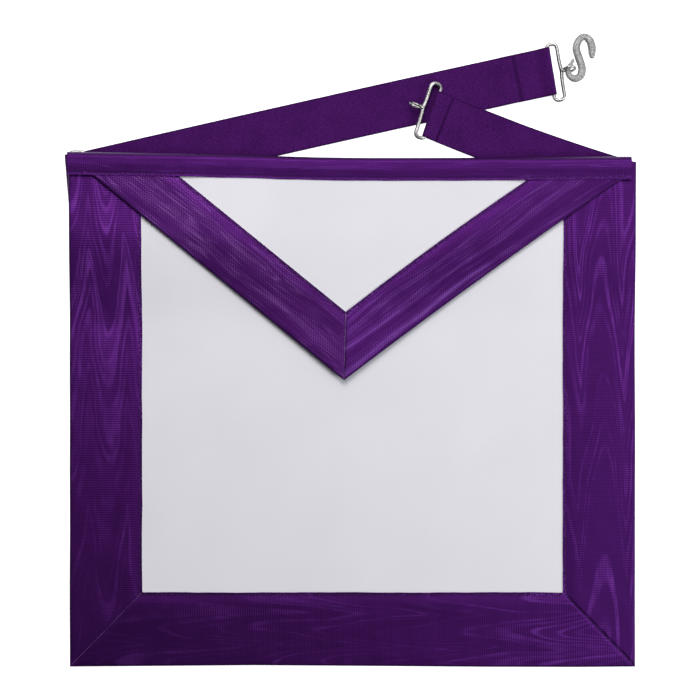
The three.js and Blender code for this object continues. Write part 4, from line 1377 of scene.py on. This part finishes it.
def shortStations():
    foldLine = -foldAcross(belt["shortFold"], belt["shortStart"])
    sewnWay = heading(belt["shortSewn"])
    sewnSquare = heading(belt["shortSewn"] + 90) * belt["width"]
    level = up * (2 * plainFold - halfWall)
    sewn = [(flat(shortAxis - sewnWay * back) + level, sewnSquare, sewnWay, 0 * strapPlaces)
            for back in (belt["sewn"], belt["sewnBend"])]
    fold = foldStations(shortAxis, shortFoldOut, foldLine, plainFold, 90, -90, beltSteps["plainFold"])

    def rise(points, left):
        under = overLong(points)
        return mix(np.maximum(under, eyeLift), under, ease(left, 0, belt["width"] / 2))

    shares = np.linspace(belt["leaveFold"] / shortLength, 1, beltSteps["short"])
    run = runStations(shortCurve, foldLine, eyeLine, shares, rise)
    eyeEnd = foldStations(eyeAxis, eyeOut, eyeLine, slideFold, -90, 90)
    back = -heading(belt["shortEnd"])
    square = np.cross(up, back) * belt["width"] * np.sign(eyeLine[1] * back[0])
    length = belt["shortTurned"] - slideFold
    turned = []
    for share in np.linspace(0, 1, beltSteps["shortTurned"])[1:]:
        height = eyeLift + halfWall + overEnd(length * share, length)
        across = mix(eyeLine, square, ease(share, 0, belt["squareBy"]))
        turned.append((flat(eyeAxis + back * length * share) + up * height, across, back, 0 * strapPlaces))
    return [*joined(sewn, fold, run), *eyeEnd, *turned]


# turned is how far the end reaches past the slide that it is folded round: where the end lies over the
# strap, a dark line of painted shadow is laid on it
def makeStrap(name, stations, turned, material):
    middle, across, way, rises = (np.array([station[k] for station in stations]) for k in range(4))
    spots = middle[:, None] + strapPlaces[None, :, None] * across[:, None]
    spots[..., 2] += rises
    fromEdge = (0.5 - np.abs(strapPlaces)) * belt["width"]
    thick = belt["wallShown"] / 2 * mix(belt["edgeThin"], 1.0, ease(fromEdge, 0, belt["edgeWidth"]))
    off = unit(np.cross(way, across))[:, None] * thick[None, :, None]
    run = np.concatenate([[0.0], np.cumsum(np.linalg.norm(np.diff(middle, axis=0), axis=1))])
    u = strapPlaces[None] * belt["width"] + 0 * run[:, None]
    v = run[:, None] + 0 * u
    # The line of painted shadow where the turned end lies over the strap
    paintedShadowAt = run[-1] - 2 * turned - math.pi * (slideFold - halfWall)
    fromPaintedShadow = np.abs(v - paintedShadowAt + belt["paintedShadowIn"]) * belt["paintedShadowSpread"]
    fromEnd = np.minimum(np.minimum(v, run[-1] - v), fromPaintedShadow)
    places = np.stack([u + belt["weaveShift"], v, np.minimum(fromEdge[None], fromEnd)], -1)
    return newWall(name, spots + off, spots - off, places, material)


webbingLook = wovenWebbing()
longStrap = makeStrap("beltLongStrap", longStations(), belt["longTurned"] - slideFold, webbingLook)
shortStrap = makeStrap("beltShortStrap", shortStations(), belt["shortTurned"] - slideFold, webbingLook)
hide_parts("belt_long")
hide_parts("belt_short")
print("belt made")


# The wire slides

# A slide's frame with round corners. The strap folds round its bar at x = 0.
def loopPath(spacing, length, corner, steps=10):
    points = []
    for x, y, start in (
        (spacing - corner, length / 2 - corner, 0),
        (corner, length / 2 - corner, 90),
        (corner, corner - length / 2, 180),
        (spacing - corner, corner - length / 2, 270),
    ):
        for share in np.linspace(0, 1, steps):
            points.append(np.array([x, y, 0.0]) + heading(start + 90 * share) * corner)
    return np.array(points)


# Points spread evenly round a closed path
def evenly(path, pitch):
    closed = np.concatenate([path, path[:1]])
    length = pathLength(closed)
    count = int(length / pitch)
    return alongPath(closed, np.arange(count) * length / count)


# Tilts a slide up, turns it and puts its bar on the strap's fold
def placeSlide(points, axis, degrees, tilt):
    lean = math.radians(tilt)
    x = points[..., 0] * math.cos(lean) - points[..., 2] * math.sin(lean)
    z = points[..., 0] * math.sin(lean) + points[..., 2] * math.cos(lean)
    turn = math.radians(degrees)
    return np.stack([
        x * math.cos(turn) - points[..., 1] * math.sin(turn) + axis[0],
        x * math.sin(turn) + points[..., 1] * math.cos(turn) + axis[1],
        z + axis[2],
    ], -1)


# The hook's sizes stand here because the eye is sized to its tail. Its curve runs from the head round
# the top bend to the tail, in shares of its length, and width holds shares of the bar there.
hook = {
    "length": 35.4,
    "bar": 4.9,
    "flatness": 0.68,  # height as a share of the width
    "across": [0.48, 0.482, 0.479, 0.426, 0.32, 0.224, 0.17, 0.224, 0.281, 0.247, 0.128, 0.025, 0,
               0.054, 0.105],
    "along": [0.258, 0.32, 0.455, 0.6, 0.66, 0.59, 0.43, 0.221, 0.021, -0.132, -0.19, -0.118, 0,
              0.096, 0.185],
    "width": [0.74, 1.04, 1.19, 1.15, 0.94, 1, 1.1, 1.15, 1.13, 1.1, 1.02, 0.84, 0.72, 0.58, 0.42],
    "rings": 300,
    "sides": 32,
    "scale": 1.15,
    "scaleDepth": 0.07,
    "scalesRound": 7,
    "headEnd": 2.5,  # the scales start after the head
    "bodyStart": 6,
    "capReach": 0.8,
    "capAt": [0.35, 0.65, 0.87, 0.98],
    "tailShare": 0.7,  # how thick its tail is in the eye, as a share of the bar
    "leanMost": 0.5,  # sine of the steepest lean
}
slideLength = belt["width"] + 2 * slides["play"] + slides["wire"]
tailRoom = hook["tailShare"] * hook["bar"] + 2 * slides["eyePlay"]
eyeWidth = tailRoom / math.sin(math.radians(slides["eyeTurn"])) + slides["eyeWire"]
eyeLength = wireRadius + slides["neck"] + slides["eyeWire"] + tailRoom + slides["eyeSpare"]
eyeMiddle = slides["spacing"] + wireRadius + slides["neck"] + tailRoom / 2


# The eye is one wire: it winds out from the bar, goes round the ring and winds back
def eyePath():
    wound = slides["eyeShown"] / 2
    start = wireRadius * slides["neckInside"]
    neckEnd = wireRadius + slides["neckLength"]
    share = np.linspace(0, 1, slides["neckPoints"])
    turn = 2 * math.pi * slides["neckTurns"] * (1 - share)
    out = np.stack([mix(start, neckEnd, share), wound * np.cos(turn), wound * np.sin(turn)], -1)
    wide = eyeWidth / 2
    opening = math.asin(wound / wide)
    reach = (eyeLength - neckEnd) / (1 + math.cos(opening))
    turned = np.linspace(math.pi - opening, opening - math.pi, slides["ringPoints"])[1:-1]
    ring = np.stack([eyeLength - reach + reach * np.cos(turned), wide * np.sin(turned), 0 * turned], -1)
    return np.concatenate([out, ring, (out * [1, -1, -1])[::-1]])


# eyeOff is the eye's place along its bar, or None for a slide without an eye
def makeSlide(name, axis, degrees, tilt, spacing, corner, eyeOff, material):
    frameLoop = evenly(loopPath(spacing, slideLength, corner), slides["pitch"])
    frameLoop[:, 1] += slides["off"]
    wires = [(frameLoop, slides["wireShown"] / 2, True)]
    if eyeOff is not None:
        drawn = np.exp(-((frameLoop[:, 1] - eyeOff) / slides["kinkLength"]) ** 2)
        frameLoop[:, 0] += slides["kink"] * drawn * (frameLoop[:, 0] > spacing / 2)
        eye = rolled(eyePath(), math.radians(slides["eyeTurn"]))
        wires.append((eye + [spacing, eyeOff, 0], slides["eyeShown"] / 2, False))
    points = []
    blocks = []
    start = 0
    sides = slides["sides"]
    for path, radius, closed in wires:
        rings = placeSlide(wireRings(path, radius, sides, closed), axis, degrees, tilt)
        points.append(rings.reshape(-1, 3))
        blocks += tubeFaces(len(path), sides, closed, start)
        start += len(path) * sides
    return newPiece(name, np.concatenate(points), blocks, material)


wire = platedWire()
adjuster = makeSlide("adjusterWire", adjusterAxis, degrees=belt["longFold"] - 90, tilt=0,
                     spacing=slides["adjusterSpacing"], corner=slides["adjusterCorner"], eyeOff=None,
                     material=wire)
hookSlide = makeSlide("hookSlideWire", hookAxis, degrees=belt["hookSlide"], tilt=slides["tilt"],
                      spacing=slides["spacing"], corner=slides["corner"],
                      eyeOff=slides["hookEyeOff"], material=wire)
eyeSlide = makeSlide("eyeSlideWire", eyeAxis, degrees=belt["eyeSlide"], tilt=slides["tilt"],
                     spacing=slides["spacing"], corner=slides["corner"],
                     eyeOff=slides["beltEyeOff"], material=wire)
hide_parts("adjuster_slide")
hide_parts("hook_slide")
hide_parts("eye_slide")
print("slides made")


# The snake hook

# A curve through points, as smooth as their spacing lets it be
def throughPoints(points, places):
    ends = np.concatenate([[2 * points[0] - points[1]], points, [2 * points[-1] - points[-2]]])
    result = []
    for place in places:
        low = min(int(place), len(points) - 2)
        share = place - low
        p0, p1, p2, p3 = ends[low:low + 4]
        d0, d1, d2 = (np.linalg.norm(b - a) ** 0.5 for a, b in ((p0, p1), (p1, p2), (p2, p3)))
        t1 = ((p1 - p0) / d0 - (p2 - p0) / (d0 + d1) + (p2 - p1) / d1) * d1
        t2 = ((p2 - p1) / d1 - (p3 - p1) / (d1 + d2) + (p3 - p2) / d2) * d1
        result.append(p1 + t1 * share + (3 * (p2 - p1) - 2 * t1 - t2) * share ** 2
                      + (2 * (p1 - p2) + t1 + t2) * share ** 3)
    return np.array(result)


def makeSnake(material):
    bends = len(hook["across"])
    points = np.stack([hook["across"], hook["along"], np.zeros(bends)], -1) * hook["length"]
    places = np.linspace(0, bends - 1, hook["rings"])
    path = throughPoints(points, places)
    widths = np.interp(places, np.arange(bends), hook["width"]) * hook["bar"] / 2
    ahead = unit(np.gradient(path, axis=0))
    side = np.cross(ahead, up)
    travelled = np.concatenate([[0.0], np.cumsum(np.linalg.norm(np.diff(path, axis=0), axis=1))])
    angle = np.linspace(0, 2 * math.pi, hook["sides"], endpoint=False)
    wavesAlong = 2 * math.pi * travelled[:, None] / (2 * hook["scale"])
    count = hook["scalesRound"]
    scales = np.sin(wavesAlong + count * angle[None]) * np.sin(wavesAlong - count * angle[None])
    onBody = ease(travelled, hook["headEnd"], hook["bodyStart"])[:, None]
    swell = widths[:, None] + hook["scaleDepth"] * scales * onBody
    rings = (path[:, None] + side[:, None] * (swell * np.cos(angle))[..., None]
             + up * (swell * hook["flatness"] * np.sin(angle))[..., None])

    # Both ends are rounded off
    caps = []
    for end, way in ((0, -1), (-1, 1)):
        reach = widths[end] * hook["capReach"]
        cap = []
        for share in hook["capAt"]:
            shrink = math.sqrt(1 - share ** 2)
            cap.append(path[end] + way * ahead[end] * reach * share + (rings[end] - path[end]) * shrink)
        caps.append(cap)
    body = np.concatenate([np.array(caps[0][::-1]), rings, np.array(caps[1])])

    # Its tail hangs through the eye, and it leans until its top bend lies on the table
    reach = eyeMiddle + slides["tailOut"]
    through = hookAxis + hookOut * reach * math.cos(math.radians(slides["tilt"]))
    through += np.cross(up, hookOut) * slides["hookEyeOff"]
    through[2] += reach * math.sin(math.radians(slides["tilt"])) - slides["tailDown"]
    top = max(hook["along"]) * hook["length"]
    topHeight = hook["bar"] * hook["flatness"] / 2 + gap / 3
    lean = -math.asin(min(max((through[2] - topHeight) / top, 0), hook["leanMost"]))
    placed = rolled(body, lean) + through
    return newPiece("snakeHookCasting", placed, tubeFaces(len(body), hook["sides"], False), material)


snake = makeSnake(castSilver())
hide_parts("snake_hook")
print("hook made")


# The floor, pale studio paper that glows a little so that it stays plain, and the lights

studio = {
    "floor": 12.0,  # metres, as the lights' places, aims and sizes are
    "floorDepth": 0.4,  # millimetres under the apron
    "floorColour": "#f4f4f5",
    "glow": 0.85,
    "world": 0.24,
    "worldColour": (1, 1, 1.02, 1),
    "worldLean": 1.2,  # the room is lighter to the upper right than to the lower left
    "lights": [
        {"name": "keySoftbox", "place": (-0.05, 0.8, 1.2), "aim": (0.0, 0.12, 0.0), "size": 0.8,
         "power": 14.5, "colour": "#fffdfb"},
        {"name": "fillSoftbox", "place": (1.05, -0.35, 0.9), "aim": (0.3, -0.1, 0.0), "size": 0.7,
         "power": 9.5, "colour": "#f8faff"},
    ],
}


def makeFloor():
    half = studio["floor"] / 2 / mm
    low = -studio["floorDepth"]
    points = [(-half, -half, low), (half, -half, low), (half, half, low), (-half, half, low)]
    mesh = bpy.data.meshes.new("floor")
    mesh.from_pydata([Vector(point) * mm for point in points], [], [(0, 1, 2, 3)])
    material, tree = newMaterial("studio paper, matt")
    place = addNode(tree, "TexCoord", out="Object")
    fibres = addNode(tree, "TexNoise", {}, {"Vector": place, "Scale": 900.0, "Detail": 3.0})
    bump = addNode(tree, "Bump", {}, {"Height": fibres, "Strength": 0.05, "Distance": 0.05 * mm})
    shader = addNode(tree, "BsdfPrincipled", {}, {
        "Base Color": srgb(studio["floorColour"]), "Roughness": 0.9, "Normal": bump,
        "Specular IOR Level": 0.1, "Emission Color": (1, 1, 1, 1), "Emission Strength": studio["glow"],
    })
    addNode(tree, "OutputMaterial", inputs={"Surface": shader}, out=None)
    mesh.materials.append(material)
    floor = bpy.data.objects.new("floor", mesh)
    bpy.context.scene.collection.objects.link(floor)


def addLight(lamp):
    data = bpy.data.lights.new(lamp["name"], "AREA")
    data.shape = "SQUARE"
    data.size = lamp["size"]
    data.energy = lamp["power"]
    data.color = srgb(lamp["colour"])[:3]
    light = bpy.data.objects.new(lamp["name"], data)
    light.location = lamp["place"]
    way = Vector(lamp["aim"]) - Vector(lamp["place"])
    light.rotation_euler = way.to_track_quat("-Z", "Y").to_euler()
    bpy.context.scene.collection.objects.link(light)


makeFloor()
for lamp in studio["lights"]:
    addLight(lamp)

world = bpy.data.worlds.new("studio")
world.use_nodes = True
world.node_tree.nodes.clear()
way = addNode(world.node_tree, "TexCoord", out="Generated")
lean = addNode(world.node_tree, "VectorMath", {"operation": "DOT_PRODUCT"},
               {0: way, 1: (studio["worldLean"], studio["worldLean"], 0)}, out="Value")
room = addNode(world.node_tree, "MapRange", {}, {"Value": lean, "From Min": -1.0, "From Max": 1.0,
                                                 "To Max": 2 * studio["world"]})
sky = addNode(world.node_tree, "Background", {}, {"Color": studio["worldColour"], "Strength": room})
addNode(world.node_tree, "OutputWorld", inputs={"Surface": sky}, out=None)
bpy.context.scene.world = world
bpy.context.scene.view_settings.view_transform = "Standard"
print("floor and lights made")
